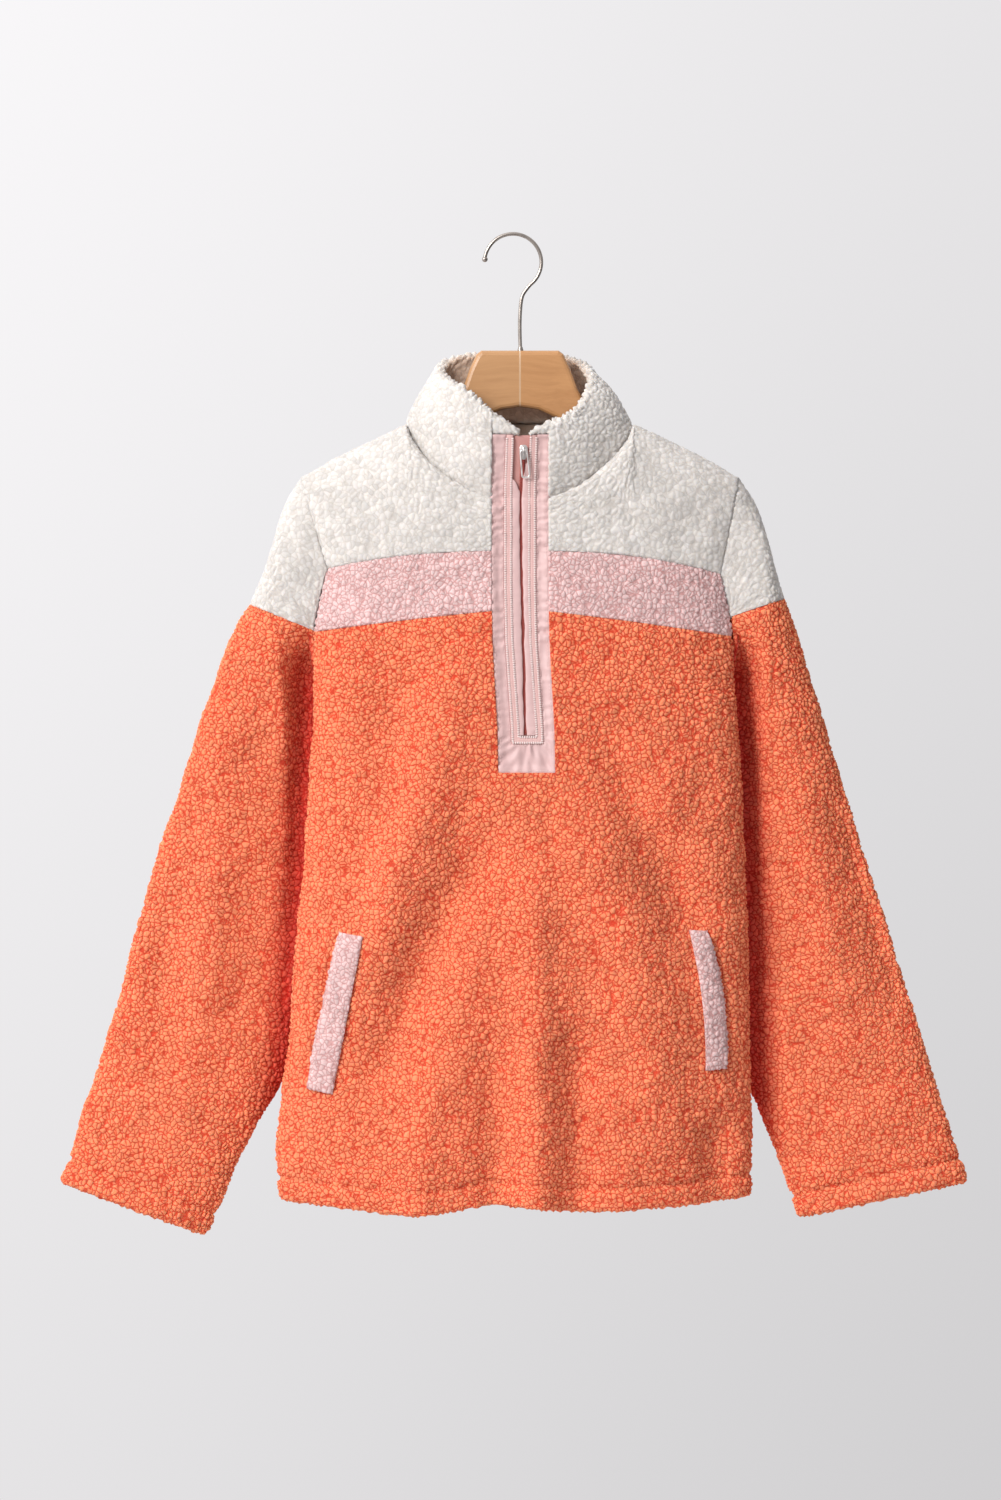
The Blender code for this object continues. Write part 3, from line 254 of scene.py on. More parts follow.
def run_along(points):
    """How far each point lies from the first one, along the line or lines of points."""
    steps = np.linalg.norm(np.diff(points, axis=0), axis=-1)
    return np.concatenate([np.zeros((1, *steps.shape[1:])), np.cumsum(steps, axis=0)])


def along(points, fractions):
    """Points at these shares of a line's length."""
    run = run_along(points)
    run /= run[-1]
    return np.stack([np.interp(fractions, run, points[:, k]) for k in range(3)], axis=-1)


def fold_height(folds, x, z):
    """How far the folds raise or sink the cloth at (x, z)."""
    total = np.zeros(np.broadcast(x, z).shape)
    places = np.stack([x, z], -1)
    for fold in folds:
        line = np.array(fold.points, float)
        fine = flow(np.linspace(0, 1, len(line)), line, np.linspace(0, 1, 24))
        best = np.full(total.shape, 1e9)
        where = np.zeros(total.shape)
        for k in range(len(fine) - 1):
            a, d = fine[k], fine[k + 1] - fine[k]
            t = np.clip(((places - a) @ d) / (d @ d), 0, 1)
            gap = np.linalg.norm(places - a - t[..., None] * d, axis=-1)
            closer = gap < best
            best = np.where(closer, gap, best)
            where = np.where(closer, (k + t) / (len(fine) - 1), where)
        taper = smooth((1 - np.abs(2 * where - 1)) / 0.55)
        if line[-1, 1] < -830:
            taper = np.where(where > 0.5, 1.0, taper)
        total += fold.height * taper * np.exp(-0.7 * (best / fold.width) ** 2)
    return total


def level(mid):
    """The body's section at the height that its middle has."""
    return Level(*np.moveaxis(flow(LEVEL_TABLE[:, 0], LEVEL_TABLE, np.asarray(mid, float)), -1, 0))


def hem_lift(x, mid):
    """The hem's unevenness, fading upwards."""
    fade = smooth(1 - (mid - LEVELS[0].mid) / HEM_EDGE_FADE)
    return flow(HEM_EDGE[:, 0], HEM_EDGE[:, 1], x) * fade


def half_front(mid, side):
    """One level's line from the centre front to the side seam."""
    row = level(mid)
    edge, rise = (row.left, row.left_rise) if side < 0 else (row.right, row.right_rise)
    depth = row.side - row.front
    behind = row.seam_y - row.side
    last = np.pi / 2 if behind > 0 else np.arccos(np.clip(-behind / depth, 0, 1))
    angle = np.linspace(0, last, 60)
    x = edge * np.sin(angle)
    y = row.side - depth * np.cos(angle)
    if behind > 0:
        turn = np.linspace(0, 1.15, 16)[1:]
        x = np.append(x, edge - row.seam_in * (1 - np.cos(turn)) / (1 - np.cos(1.15)))
        y = np.append(y, row.side + behind * np.sin(turn) / np.sin(1.15))
    z = mid + rise * (x / edge) ** row.bend + hem_lift(side * x, mid)
    return np.stack([side * x, y, z], axis=-1)


def half_back(mid, side):
    """One level's line from the centre back to the side seam."""
    row = level(mid)
    edge, rise = (row.left, row.left_rise) if side < 0 else (row.right, row.right_rise)
    if mid <= UNDERARM:
        seam = half_front(mid, side)[-1]
    else:
        share = smooth((mid - UNDERARM) / 48)
        low = np.array([edge - row.seam_in, row.seam_y])
        high = np.array([edge - row.back_in, row.back_y])
        x, y = low + (high - low) * share
        seam = np.array([side * x, y, mid + rise * (x / edge) ** row.bend])
    reach = abs(seam[0])
    mix = np.array([0.0, 0.04, 0.35, 0.85, 1.0])
    y = np.append(row.back + (row.flank - row.back) * mix, seam[1])
    fine = np.linspace(0, 1, 70)
    x = reach * fine
    z = mid + rise * (x / edge) ** row.bend + hem_lift(side * x, mid)
    points = np.stack([side * x, flow([0.0, 0.33, 0.58, 0.72, 0.88, 1.0], y, fine), z], axis=-1)
    points[-1] = seam
    return points


def neck(turn):
    """The neck seam; turn is 0 at the front and 180 at the back."""
    angle = np.radians(turn)
    ahead = np.cos(angle)
    y = np.where(ahead > 0, -NECK_FRONT, -NECK_BACK) * ahead
    dip = np.abs(ahead) ** NECK_DIP
    z = NECK_SIDE_Z + np.where(ahead > 0, -NECK_FRONT_DROP, NECK_BACK_RISE) * dip
    return np.stack([-NECK_HALF * np.sin(angle), y, z], axis=-1)


def shoulder(share, side):
    """The shoulder seam from the neck to the sleeve."""
    start = neck(90.0)
    start[0] = side * NECK_HALF
    end = np.array([side * TIP[0], TIP[1], TIP[2]])
    share = np.asarray(share)[..., None]
    return start + (end - start) * share + 2.0 * np.sin(np.pi * share) * np.array([0, 0, 1])


def yoke(low, high, f):
    """The rounded rise from the stripe's top to the shoulder."""
    rise = np.sin(f * np.pi / 2)
    back = (1 - rise**SHOULDER_ROUND) ** (1 / SHOULDER_ROUND)
    point = low + (high - low) * rise
    point[..., 1] = high[..., 1] + (low[..., 1] - high[..., 1]) * back
    return point


class Net:
    """A grid of points with their outward directions; rows go up, columns from left to right."""

    def __init__(self, points, outward):
        self.points = points
        self.normals = unit(np.cross(np.gradient(points, axis=1), np.gradient(points, axis=0)))
        if (self.normals * outward).sum() < 0:
            self.normals = -self.normals

    def lifted(self, height):
        return self.points + self.normals * np.asarray(height)[..., None]

    def part(self, rows=slice(None), columns=slice(None)):
        piece = Net.__new__(Net)
        piece.points = self.points[rows, columns].copy()
        piece.normals = self.normals[rows, columns].copy()
        return piece


def grain(points, size, seed=0.0):
    """Slow, uneven noise over the points, from -1 to 1, with features of this size in mm."""
    step = 3  # every third point is worked out, and the rest lie between
    shape = points.shape[:2]
    rows, columns = np.arange(0, shape[0], step), np.arange(0, shape[1], step)
    picked = (points[::step, ::step] / size + seed).reshape(-1, 3)
    values = np.array([noise.noise(Vector(p)) for p in picked]).reshape(len(rows), len(columns))
    across = np.array([np.interp(np.arange(shape[1]), columns, line) for line in values])
    out = np.array([np.interp(np.arange(shape[0]), rows, across[:, j]) for j in range(shape[1])]).T
    return out * 1.6


def edge_runs(points):
    """For each point of a grid, how far it is from its first and last column."""
    run = run_along(points.swapaxes(0, 1)).T
    return run, run[:, -1:] - run


def counted(length, step, multiple=COARSE):
    """How many cells of about this step a length takes, as a multiple of the coarse cells."""
    return max(1, int(round(length / step / multiple))) * multiple


# Building

def mesh_object(name, verts, faces, mat, attributes=None):
    """A smooth mesh, moved to the world's place; attributes hold a number or a vector for each point."""
    mesh = bpy.data.meshes.new(name)
    verts = np.asarray(verts, float) * MM + (CROWN * MM, 0, 0)
    mesh.from_pydata(verts.tolist(), [], faces)
    mesh.materials.append(mat)
    for key, values in (attributes or {}).items():
        values = np.asarray(values, np.float32)
        if values.ndim == 1:
            mesh.attributes.new(key, "FLOAT", "POINT").data.foreach_set("value", values)
        else:
            mesh.attributes.new(key, "FLOAT_VECTOR", "POINT").data.foreach_set("vector", values.ravel())
    mesh.update()
    mesh.shade_smooth()
    return placed(name, mesh)


def placed(name, data):
    obj = bpy.data.objects.new(name, data)
    bpy.context.scene.collection.objects.link(obj)
    return obj


def face_outwards(obj):
    """Turns a closed mesh's faces so that they all point out of it."""
    bm = bmesh.new()
    bm.from_mesh(obj.data)
    bmesh.ops.recalc_face_normals(bm, faces=bm.faces[:])
    if bm.calc_volume(signed=True) < 0:
        bmesh.ops.reverse_faces(bm, faces=bm.faces[:])
    bm.to_mesh(obj.data)
    bm.free()
    obj.data.shade_smooth()
    return obj


def cloth(name, net, thick, mat, wrap=False, keep=None, k=COARSE, inner_fluff=0.35, warm=None):
    """A closed wall: fine cells outside, coarser ones inside, and a round rim between them.

    keep(row, column) says which coarse cells exist. Three attributes go with the points: fluff is how far the
    pile stands there, out is the way that it stands, and the third is how far the colour turns to a tint of
    painted shade; the rim takes at least half of that painted shade and the inside all of it.
    """
    points, normals = net.points, net.normals
    rows, columns = points.shape[:2]
    tall = (rows - 1) // k
    wide = columns // k if wrap else (columns - 1) // k
    thick = np.broadcast_to(np.asarray(thick, float), (rows, columns))
    verts = points.reshape(-1, 3).tolist()
    fluff = [1.0] * len(verts)
    shade_share = [0.0] * len(verts) if warm is None else np.asarray(warm).ravel().tolist()
    out = normals.reshape(-1, 3).tolist()
    kept = np.ones((tall, wide), bool)
    if keep is not None:
        kept = np.array([[keep(i, j) for j in range(wide)] for i in range(tall)])
    faces = []
    middle, inner = {}, {}

    def outer_at(i, j):
        return i * columns + j % columns

    def middle_at(i, j):
        j = j % columns
        if (i, j) not in middle:
            middle[i, j] = len(verts)
            verts.append(points[i, j] - normals[i, j] * thick[i, j] * 0.5)
            fluff.append(0.0)
            shade_share.append(max(shade_share[outer_at(i, j)], 0.5))
            out.append(normals[i, j])
        return middle[i, j]

    def inner_at(i, j):
        i, j = i * k, (j * k) % columns
        if (i, j) not in inner:
            inner[i, j] = len(verts)
            verts.append(points[i, j] - normals[i, j] * thick[i, j])
            fluff.append(inner_fluff)
            shade_share.append(1.0)
            out.append(-normals[i, j])
        return inner[i, j]

    def border(cells, ends):
        outer = [outer_at(*cell) for cell in cells]
        rim = [middle_at(*cell) for cell in cells]
        for n in range(k):
            faces.append((outer[n + 1], outer[n], rim[n], rim[n + 1]))
        faces.append(tuple(rim[::-1]) + (inner_at(*ends[0]), inner_at(*ends[1])))

    for i in range(tall):
        for j in range(wide):
            if not kept[i, j]:
                continue
            for a in range(i * k, i * k + k):
                for b in range(j * k, j * k + k):
                    corners = ((a, b), (a, b + 1), (a + 1, b + 1), (a + 1, b))
                    faces.append(tuple(outer_at(*corner) for corner in corners))
            faces.append((inner_at(i, j), inner_at(i + 1, j), inner_at(i + 1, j + 1), inner_at(i, j + 1)))
            span = range(k + 1)
            if i == 0 or not kept[i - 1, j]:
                border([(i * k, j * k + n) for n in span], ((i, j), (i, j + 1)))
            if i == tall - 1 or not kept[i + 1, j]:
                border([(i * k + k, j * k + k - n) for n in span], ((i + 1, j + 1), (i + 1, j)))
            left = (j - 1) % wide if wrap else j - 1
            right = (j + 1) % wide if wrap else j + 1
            if left < 0 or not kept[i, left]:
                border([(i * k + k - n, j * k) for n in span], ((i + 1, j), (i, j)))
            if right >= wide or not kept[i, right]:
                border([(i * k + n, j * k + k) for n in span], ((i, j + 1), (i + 1, j + 1)))
    verts, fluff, shade_share, out, faces = compact(verts, fluff, shade_share, out, faces)
    return face_outwards(mesh_object(name, verts, faces, mat, {"fluff": fluff, "out": out, "warm": shade_share}))


def compact(verts, fluff, shade_share, out, faces):
    """Drops the points that no face uses."""
    used = np.zeros(len(verts), bool)
    for face in faces:
        for n in face:
            used[n] = True
    order = np.cumsum(used) - 1
    faces = [tuple(int(order[n]) for n in face) for face in faces]
    return *(np.array(values)[used] for values in (verts, fluff, shade_share, out)), faces


def hang(obj, nodes, body="garment"):
    """Gives a piece its body and the nodes that it stands for."""
    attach(obj, body)
    if nodes:
        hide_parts(*nodes)
    return obj


# Materials

def nodes_of(name):
    """A new material, its node tree and its shader."""
    mat = bpy.data.materials.new(name)
    mat.use_nodes = True
    tree = mat.node_tree
    return mat, tree, tree.nodes["Principled BSDF"]


def fill(tree, node, inputs):
    """Gives each input, by its name or number, a value or the output of another node."""
    for key, value in inputs.items():
        if isinstance(value, bpy.types.NodeSocket):
            tree.links.new(value, node.inputs[key])
        else:
            node.inputs[key].default_value = value
    return node


def add(tree, kind, inputs=None, **settings):
    node = tree.nodes.new(kind)
    for key, value in settings.items():
        setattr(node, key, value)
    return fill(tree, node, inputs or {})


def maths(tree, operation, a, b, c=0.0, clamp=False):
    return add(tree, "ShaderNodeMath", {0: a, 1: b, 2: c}, operation=operation, use_clamp=clamp).outputs[0]


def noise_at(tree, vector, scale, detail=2.0, rough=0.5):
    inputs = {"Vector": vector, "Scale": scale, "Detail": detail, "Roughness": rough}
    return add(tree, "ShaderNodeTexNoise", inputs).outputs


def ramp(tree, value, low, high, out_low=0.0, out_high=1.0):
    inputs = {"Value": value, "From Min": low, "From Max": high, "To Min": out_low, "To Max": out_high}
    return add(tree, "ShaderNodeMapRange", inputs, interpolation_type="SMOOTHSTEP").outputs["Result"]


def mix(tree, factor, a, b, blend="MIX"):
    """Mixes two colours, each of them three numbers or an output."""
    a, b = ((*colour, 1) if isinstance(colour, tuple) else colour for colour in (a, b))
    return add(tree, "ShaderNodeMix", {0: factor, 6: a, 7: b}, data_type="RGBA", blend_type=blend).outputs[2]


def bump(tree, height, strength, depth):
    return add(tree, "ShaderNodeBump", {"Strength": strength, "Distance": depth, "Height": height}).outputs[0]


def object_place(tree):
    return add(tree, "ShaderNodeTexCoord").outputs["Object"]


def stretched(tree, vector, scale):
    return add(tree, "ShaderNodeMapping", {"Scale": scale, "Vector": vector}).outputs[0]


def shifted(tree, by, amount, vector):
    """The vector, moved by a colour's numbers times the amount."""
    inputs = {0: by, 1: (amount,) * 3, 2: vector}
    return add(tree, "ShaderNodeVectorMath", inputs, operation="MULTIPLY_ADD").outputs[0]


def curls(tree, vector, period):
    """The pile's height from 0 to 1, as close round clumps of this size, and a random value for each clump."""
    warped = shifted(tree, noise_at(tree, vector, 0.6 / period, 1.0)["Color"], period * 1.1, vector)
    inputs = {"Scale": 1 / period, "Randomness": 0.95, "Vector": warped}
    edge, middle = (
        add(tree, "ShaderNodeTexVoronoi", inputs, feature=feature).outputs
        for feature in ("DISTANCE_TO_EDGE", "F1")
    )
    dome = ramp(tree, edge["Distance"], -0.03, 0.30)
    fine = maths(tree, "MULTIPLY_ADD", noise_at(tree, vector, 2.3 / period, 2.0, 0.6)[0], 0.36, -0.14)
    return maths(tree, "ADD", dome, fine, clamp=True), middle["Color"]


def sherpa(name, lit, deep, period, depth, strength, glow, warm_tint=None):
    """Pile fleece: pale curled tops over gaps darkened with painted shade."""
    mat, tree, shader = nodes_of(name)
    vector = add(tree, "ShaderNodeAttribute", attribute_name="rest").outputs["Vector"]
    height, random = curls(tree, vector, period)
    clump = add(tree, "ShaderNodeSeparateColor", {0: random}).outputs[0]
    slow = noise_at(tree, vector, 28.0)[0]
    # Painted shade: the gaps between the clumps take the deep colour, the tops the lit one.
    colour = mix(tree, ramp(tree, height, 0.02, 0.62), deep, lit)
    colour = mix(tree, 1.0, colour, ramp(tree, clump, 0.0, 1.0, 0.90, 1.08), "MULTIPLY")
    colour = mix(tree, 1.0, colour, ramp(tree, slow, 0.3, 0.7, 0.95, 1.04), "MULTIPLY")
    # Painted shade: as far as the shade attribute says, the colour is multiplied by the shade tint.
    if warm_tint:
        warm = add(tree, "ShaderNodeAttribute", attribute_name="warm").outputs["Fac"]
        colour = mix(tree, warm, colour, mix(tree, 1.0, colour, warm_tint, "MULTIPLY"))
    fill(tree, shader, {
        "Base Color": colour, "Normal": bump(tree, height, strength, depth), "Roughness": 0.95,
        "Specular IOR Level": 0.05, "Subsurface Weight": 0.35, "Subsurface Radius": glow,
        "Subsurface Scale": 0.003, "Sheen Weight": 0.08, "Sheen Roughness": 0.6, "Sheen Tint": (*lit, 1),
    })
    return mat


def pile(obj, period, depth):
    """Raises the cloth's surface in curled clumps, the same ones that its material shows."""
    key = f"pile_{round(period * 1e5)}_{round(depth * 1e5)}"
    group = bpy.data.node_groups.get(key)
    if group is None:
        group = bpy.data.node_groups.new(key, "GeometryNodeTree")
        for way in ("INPUT", "OUTPUT"):
            group.interface.new_socket("Geometry", in_out=way, socket_type="NodeSocketGeometry")
        start, end = group.nodes.new("NodeGroupInput"), group.nodes.new("NodeGroupOutput")
        place = add(group, "GeometryNodeInputPosition").outputs[0]
        store = add(group, "GeometryNodeStoreNamedAttribute",
                    {"Name": "rest", "Geometry": start.outputs[0], "Value": place}, data_type="FLOAT_VECTOR")
        fluff, outward = (
            add(group, "GeometryNodeInputNamedAttribute", {"Name": name}, data_type=kind).outputs["Attribute"]
            for name, kind in (("fluff", "FLOAT"), ("out", "FLOAT_VECTOR"))
        )
        raised = maths(group, "SUBTRACT", curls(group, place, period)[0], 0.45)
        for share in (depth, fluff):
            raised = maths(group, "MULTIPLY", raised, share)
        offset = add(group, "ShaderNodeVectorMath", {0: outward, "Scale": raised}, operation="SCALE")
        move = add(group, "GeometryNodeSetPosition", {"Geometry": store.outputs[0], "Offset": offset.outputs[0]})
        fill(group, end, {0: move.outputs[0]})
    obj.modifiers.new("pile", "NODES").node_group = group


def woven(name, colour, dark, size, rough):
    """Plain woven cloth, such as nylon, ribbed binding or zip tape."""
    mat, tree, shader = nodes_of(name)
    where = object_place(tree)
    inputs = {"Scale": 1 / size / 3.2, "Distortion": 0.4, "Vector": where}
    threads = [
        add(tree, "ShaderNodeTexWave", inputs, bands_direction=direction).outputs["Fac"]
        for direction in ("X", "Z")
    ]
    weave = maths(tree, "MULTIPLY", *threads)
    tone = maths(tree, "MULTIPLY_ADD", noise_at(tree, where, 60.0, 3.0)[0], 0.6, weave)
    fill(tree, shader, {
        "Base Color": mix(tree, ramp(tree, tone, 0.15, 1.0), dark, colour),
        "Normal": bump(tree, weave, 0.3, 0.0002), "Roughness": rough, "Sheen Weight": 0.1,
    })
    return mat


def thread(name, colour):
    """Twisted thread, darker in its turns."""
    mat, tree, shader = nodes_of(name)
    twist = noise_at(tree, object_place(tree), 1400.0, 1.0)[0]
    dark = tuple(0.75 * c for c in colour)
    fill(tree, shader, {"Base Color": mix(tree, twist, dark, colour), "Roughness": 0.7})
    return mat


def brushed(name, colour, dark, rough):
    """Worn metal with fine upright lines."""
    mat, tree, shader = nodes_of(name)
    where = object_place(tree)
    lines = noise_at(tree, stretched(tree, where, (900, 900, 60)), 1.0, 3.0, 0.7)[0]
    spots = noise_at(tree, where, 160.0, 3.0)[0]
    fill(tree, shader, {
        "Base Color": mix(tree, ramp(tree, spots, 0.35, 0.75), colour, dark),
        "Roughness": ramp(tree, lines, 0.2, 0.8, rough - 0.03, rough + 0.05), "Metallic": 1.0,
    })
    return mat


def timber(name, pale, deep):
    """Varnished wood, its grain along X, with a paler left half and a line where the halves meet."""
    mat, tree, shader = nodes_of(name)
    where = object_place(tree)
    bend = noise_at(tree, where, 9.0)["Color"]
    grain_place = shifted(tree, bend, 2.5, stretched(tree, where, (9, 60, 85)))
    lines = noise_at(tree, grain_place, 1.0, 4.0, 0.65)[0]
    tone = maths(tree, "MULTIPLY_ADD", noise_at(tree, grain_place, 6.0, 2.0, 0.7)[0], 0.35, lines)
    grained = mix(tree, ramp(tree, tone, 0.45, 1.05), pale, deep)
    x = add(tree, "ShaderNodeSeparateXYZ", {0: where}).outputs["X"]
    middle = CROWN * MM
    halves = mix(tree, ramp(tree, x, middle - 0.0005, middle + 0.0005), (1.0, 1.0, 0.98), (1.0, 0.94, 0.84))
    off_line = maths(tree, "ABSOLUTE", maths(tree, "SUBTRACT", x, middle), 0.0)
    joint = ramp(tree, off_line, 0.0004, 0.0009, 1.0, 0.0)
    toned = mix(tree, 1.0, grained, halves, "MULTIPLY")
    fill(tree, shader, {
        "Base Color": mix(tree, joint, toned, (0.74, 0.50, 0.31)), "Normal": bump(tree, tone, 0.12, 0.0003),
        "Roughness": 0.38, "Coat Weight": 0.25, "Coat Roughness": 0.2,
    })
    return mat


WHITE_LIT = (0.655, 0.626, 0.602)
ORANGE_LIT = (0.89, 0.275, 0.14)
PINK_LIT = (0.735, 0.53, 0.525)
# Painted shade, with a painted warm reflection of the wood, for the white pile's rim and inside.
PAINTED_INSIDE_SHADE = (0.90, 0.72, 0.60)
IN_SHADE = (0.74, 0.28, 0.38)
# The second colour of each pile is painted shade for the gaps between its clumps.
white = sherpa("white_sherpa", WHITE_LIT, (0.59, 0.55, 0.515), 0.0048, 0.0010, 0.18, (1, 0.8, 0.6), PAINTED_INSIDE_SHADE)
pink = sherpa("pink_sherpa", PINK_LIT, (0.56, 0.31, 0.30), 0.0040, 0.0012, 0.4, (1, 0.5, 0.5))
orange = sherpa("orange_sherpa", ORANGE_LIT, (0.62, 0.06, 0.03), 0.0040, 0.0014, 0.5, (1, 0.2, 0.1), IN_SHADE)
nylon = woven("pink_nylon", (0.69, 0.485, 0.48), (0.60, 0.385, 0.375), 0.0006, 0.46)
welt_cloth = woven("pink_binding", (0.74, 0.49, 0.47), (0.62, 0.37, 0.35), 0.0011, 0.6)
tape_cloth = woven("red_tape", (0.66, 0.36, 0.33), (0.46, 0.20, 0.18), 0.0007, 0.7)
teeth_mat = thread("red_coil", (0.42, 0.075, 0.06))
stitch_mat = thread("pink_thread", (0.88, 0.66, 0.64))
cord_mat = thread("pale_cord", (0.88, 0.74, 0.72))
metal = brushed("brushed_metal", (0.47, 0.42, 0.38), (0.36, 0.32, 0.29), 0.30)
silver = brushed("slider_metal", (0.90, 0.86, 0.84), (0.66, 0.62, 0.60), 0.30)
wood = timber("pale_wood", (0.55, 0.295, 0.135), (0.43, 0.215, 0.09))
PERIOD = {"white": (0.0048, 0.0011), "pink": (0.0040, 0.0018), "orange": (0.0040, 0.0022)}


# The body

def drift(x, z):
    """How far the centre front strays to the wearer's left as it goes down."""
    knots = np.array([-520, -458, -420, -380, -345, -300, -215, -190, -170.0])
    shifts = np.array([0.0, 7.4, 6.4, 3.4, 1.0, 0.0, 0.0, 1.0, 1.6])
    return np.interp(z, knots, shifts) * np.exp(-((x / 48) ** 2))


def body_levels():
    """The body's rows from hem to stripe top, and the rows of the underarm and of the stripe's bottom."""
    low, high, band = (
        np.linspace(a, b, 1 + counted(b - a, STEP))
        for a, b in ((HEM_Z, UNDERARM), (UNDERARM, BAND_BOTTOM), (BAND_BOTTOM, BAND_TOP))
    )
    return np.concatenate([low, high[1:], band[1:]]), len(low) - 1, len(low) + len(high) - 2


def yoke_shares():
    """Even steps from the band to the shoulder."""
    f = np.linspace(0, 1, 200)
    line = np.array([yoke(np.array([0, -45.0, -272]), np.array([0, 0.0, -185]), v) for v in f])
    run = run_along(line)
    cells = counted(YOKE_RUN, STEP)
    return np.interp(np.linspace(0, run[-1], cells + 1), run, f)


def pinch(distance, depth=0.55, width=2.2):
    """The pile sinks along a seam."""
    return -depth * np.exp(-((distance / width) ** 2))


def rounded_off(distance, radius=4.0):
    """How far the surface falls away this near to an open edge."""
    return radius - np.sqrt(radius**2 - np.clip(radius - distance, 0, radius) ** 2)


# Small creases that only show in the cloth's surface.
FINE_FRONT = (
    Fold(-1.6, 7, ((-165, -455), (-140, -500), (-128, -560))),
    Fold(1.4, 9, ((-150, -440), (-118, -520), (-100, -580))),
    Fold(-1.8, 8, ((168, -452), (146, -492), (132, -548))),
    Fold(1.4, 9, ((150, -430), (120, -476), (104, -520))),
    Fold(-1.5, 7, ((-30, -462), (-52, -500), (-60, -530))),
    Fold(1.3, 8, ((30, -460), (40, -500), (44, -560))),
    Fold(-1.6, 8, ((-108, -800), (-112, -822), (-114, -860))),
    Fold(1.6, 9, ((88, -770), (92, -800), (94, -860))),
    Fold(-1.4, 8, ((-60, -345), (-90, -380), (-120, -400))),
    Fold(-1.4, 8, ((70, -340), (100, -362), (130, -372))),
)
POCKET_SLITS = (
    Fold(-3.2, 3.4, ((-155.5, -590), (-168, -650), (-184, -729))),
    Fold(-3.2, 3.4, ((162, -590), (174, -650), (179, -712))),
)
FINE_BACK = (
    Fold(1.6, 9, ((-90, -360), (-60, -430), (-50, -520))),
    Fold(-1.6, 8, ((100, -350), (80, -430), (76, -520))),
    Fold(1.5, 9, ((90, -700), (96, -780), (96, -860))),
)


def torso(front):
    """The whole front or back as one fine grid; returns it with its marks."""
    half = half_front if front else half_back
    mids, underarm, band = body_levels()
    start = PLACKET_HALF + GAP / 2 if front else 0.0
    cells = counted(HALF_RUN, STEP)
    corner = 0.5 if front else 0.48
    shares = np.concatenate([np.linspace(0, corner, cells + 1), np.linspace(corner, 1, cells + 1)[1:]])
    if front:
        first_turn = np.degrees(np.arcsin(start / NECK_HALF))
        turns = np.linspace(first_turn, 90, cells + 1)
        marks = [0.5, 0.6, 0.69, 0.77, 0.85, 0.93, 1.0]
    else:
        turns = np.linspace(180, 90, cells + 1)
        marks = [0.48, 0.58, 0.67, 0.76, 0.84, 0.92, 1.0]
    seam = np.interp(shares[cells + 1 :], marks, np.linspace(0, 1, 7))
    rises = yoke_shares()[1:]
    halves = []
    for side in (-1, 1):
        lines = []
        for mid in mids:
            line = half(mid, side)
            away = np.abs(line[:, 0])
            inner = slice(0, away.argmax() + 1)
            first = [np.interp(start, away[inner], line[inner, k]) for k in range(3)]
            lines.append(along(np.vstack([first, line[away > start + 0.01]]), shares))
        low = lines[-1]
        high = np.vstack([neck(turns if side < 0 else 360 - turns), shoulder(seam, side)])
        lines += [yoke(low, high, f) for f in rises]
        halves.append(np.array(lines))
    left, right = halves
    centre = 0
    if front:
        centre = counted(2 * PLACKET_HALF, STEP)
        xs = np.linspace(-1, 1, centre + 1)[1:-1]
        a, b = left[:, :1], right[:, :1]
        middle = a + (b - a) * ((xs[None, :, None] + 1) / 2)
        bulge = np.concatenate([np.full(len(mids), 0.35), 1.2 * rises])
        middle[..., 1] -= bulge[:, None] * (1 - xs**2)
        grid = np.concatenate([left[:, ::-1], middle, right], axis=1)
        grid[..., 0] += drift(grid[..., 0], grid[..., 2])
    else:
        grid = np.concatenate([left[:, ::-1], right[:, 1:]], axis=1)
    facing = (0, -1, 0) if front else (0, 1, 0)
    net = Net(grid, facing)
    x, z = grid[..., 0], grid[..., 2]
    near, far = edge_runs(grid)
    inside = np.minimum(near, far)
    lift = 1.5 * fold_height(FRONT_FOLDS if front else BACK_FOLDS, x, z) * smooth(inside / 35)
    lift *= smooth((BAND_TOP - 5 - z) / 40)
    up = z - z[:1]
    lift += pinch(up - HEM_BAND, *HEM_GROOVE) * smooth(inside / 6)
    lift += 0.9 * smooth(up / 5) * smooth((HEM_BAND - 2 - up) / 5)
    lift -= rounded_off(up)
    fine = fold_height(FINE_FRONT if front else FINE_BACK, x, z)
    calm = smooth(inside / 20)
    if front:
        calm = calm * smooth((np.abs(x) - 24) / 18 + 1.0 * (z < PLACKET_BOTTOM - 10))
        fine = fine * calm + fold_height(POCKET_SLITS, x, z)
    lift += fine + 1.1 * grain(grid, 42.0, 3.0 if front else 9.0) * calm
    lift += 0.5 * grain(grid, 15.0, 5.0) * calm
    beside = smooth((np.abs(x) - 24) / 5) if front else 1.0
    for row in (band, len(mids) - 1):
        lift += pinch(z - z[row : row + 1]) * beside
    net.points = net.lifted(lift)
    net = Net(net.points, facing)
    return net, dict(
        underarm=underarm, band=band, yoke=len(mids) - 1, cells=cells * 2, centre=centre,
        levels=np.concatenate([mids, np.full(len(rises), 0.0)]),
    )


# The sleeves

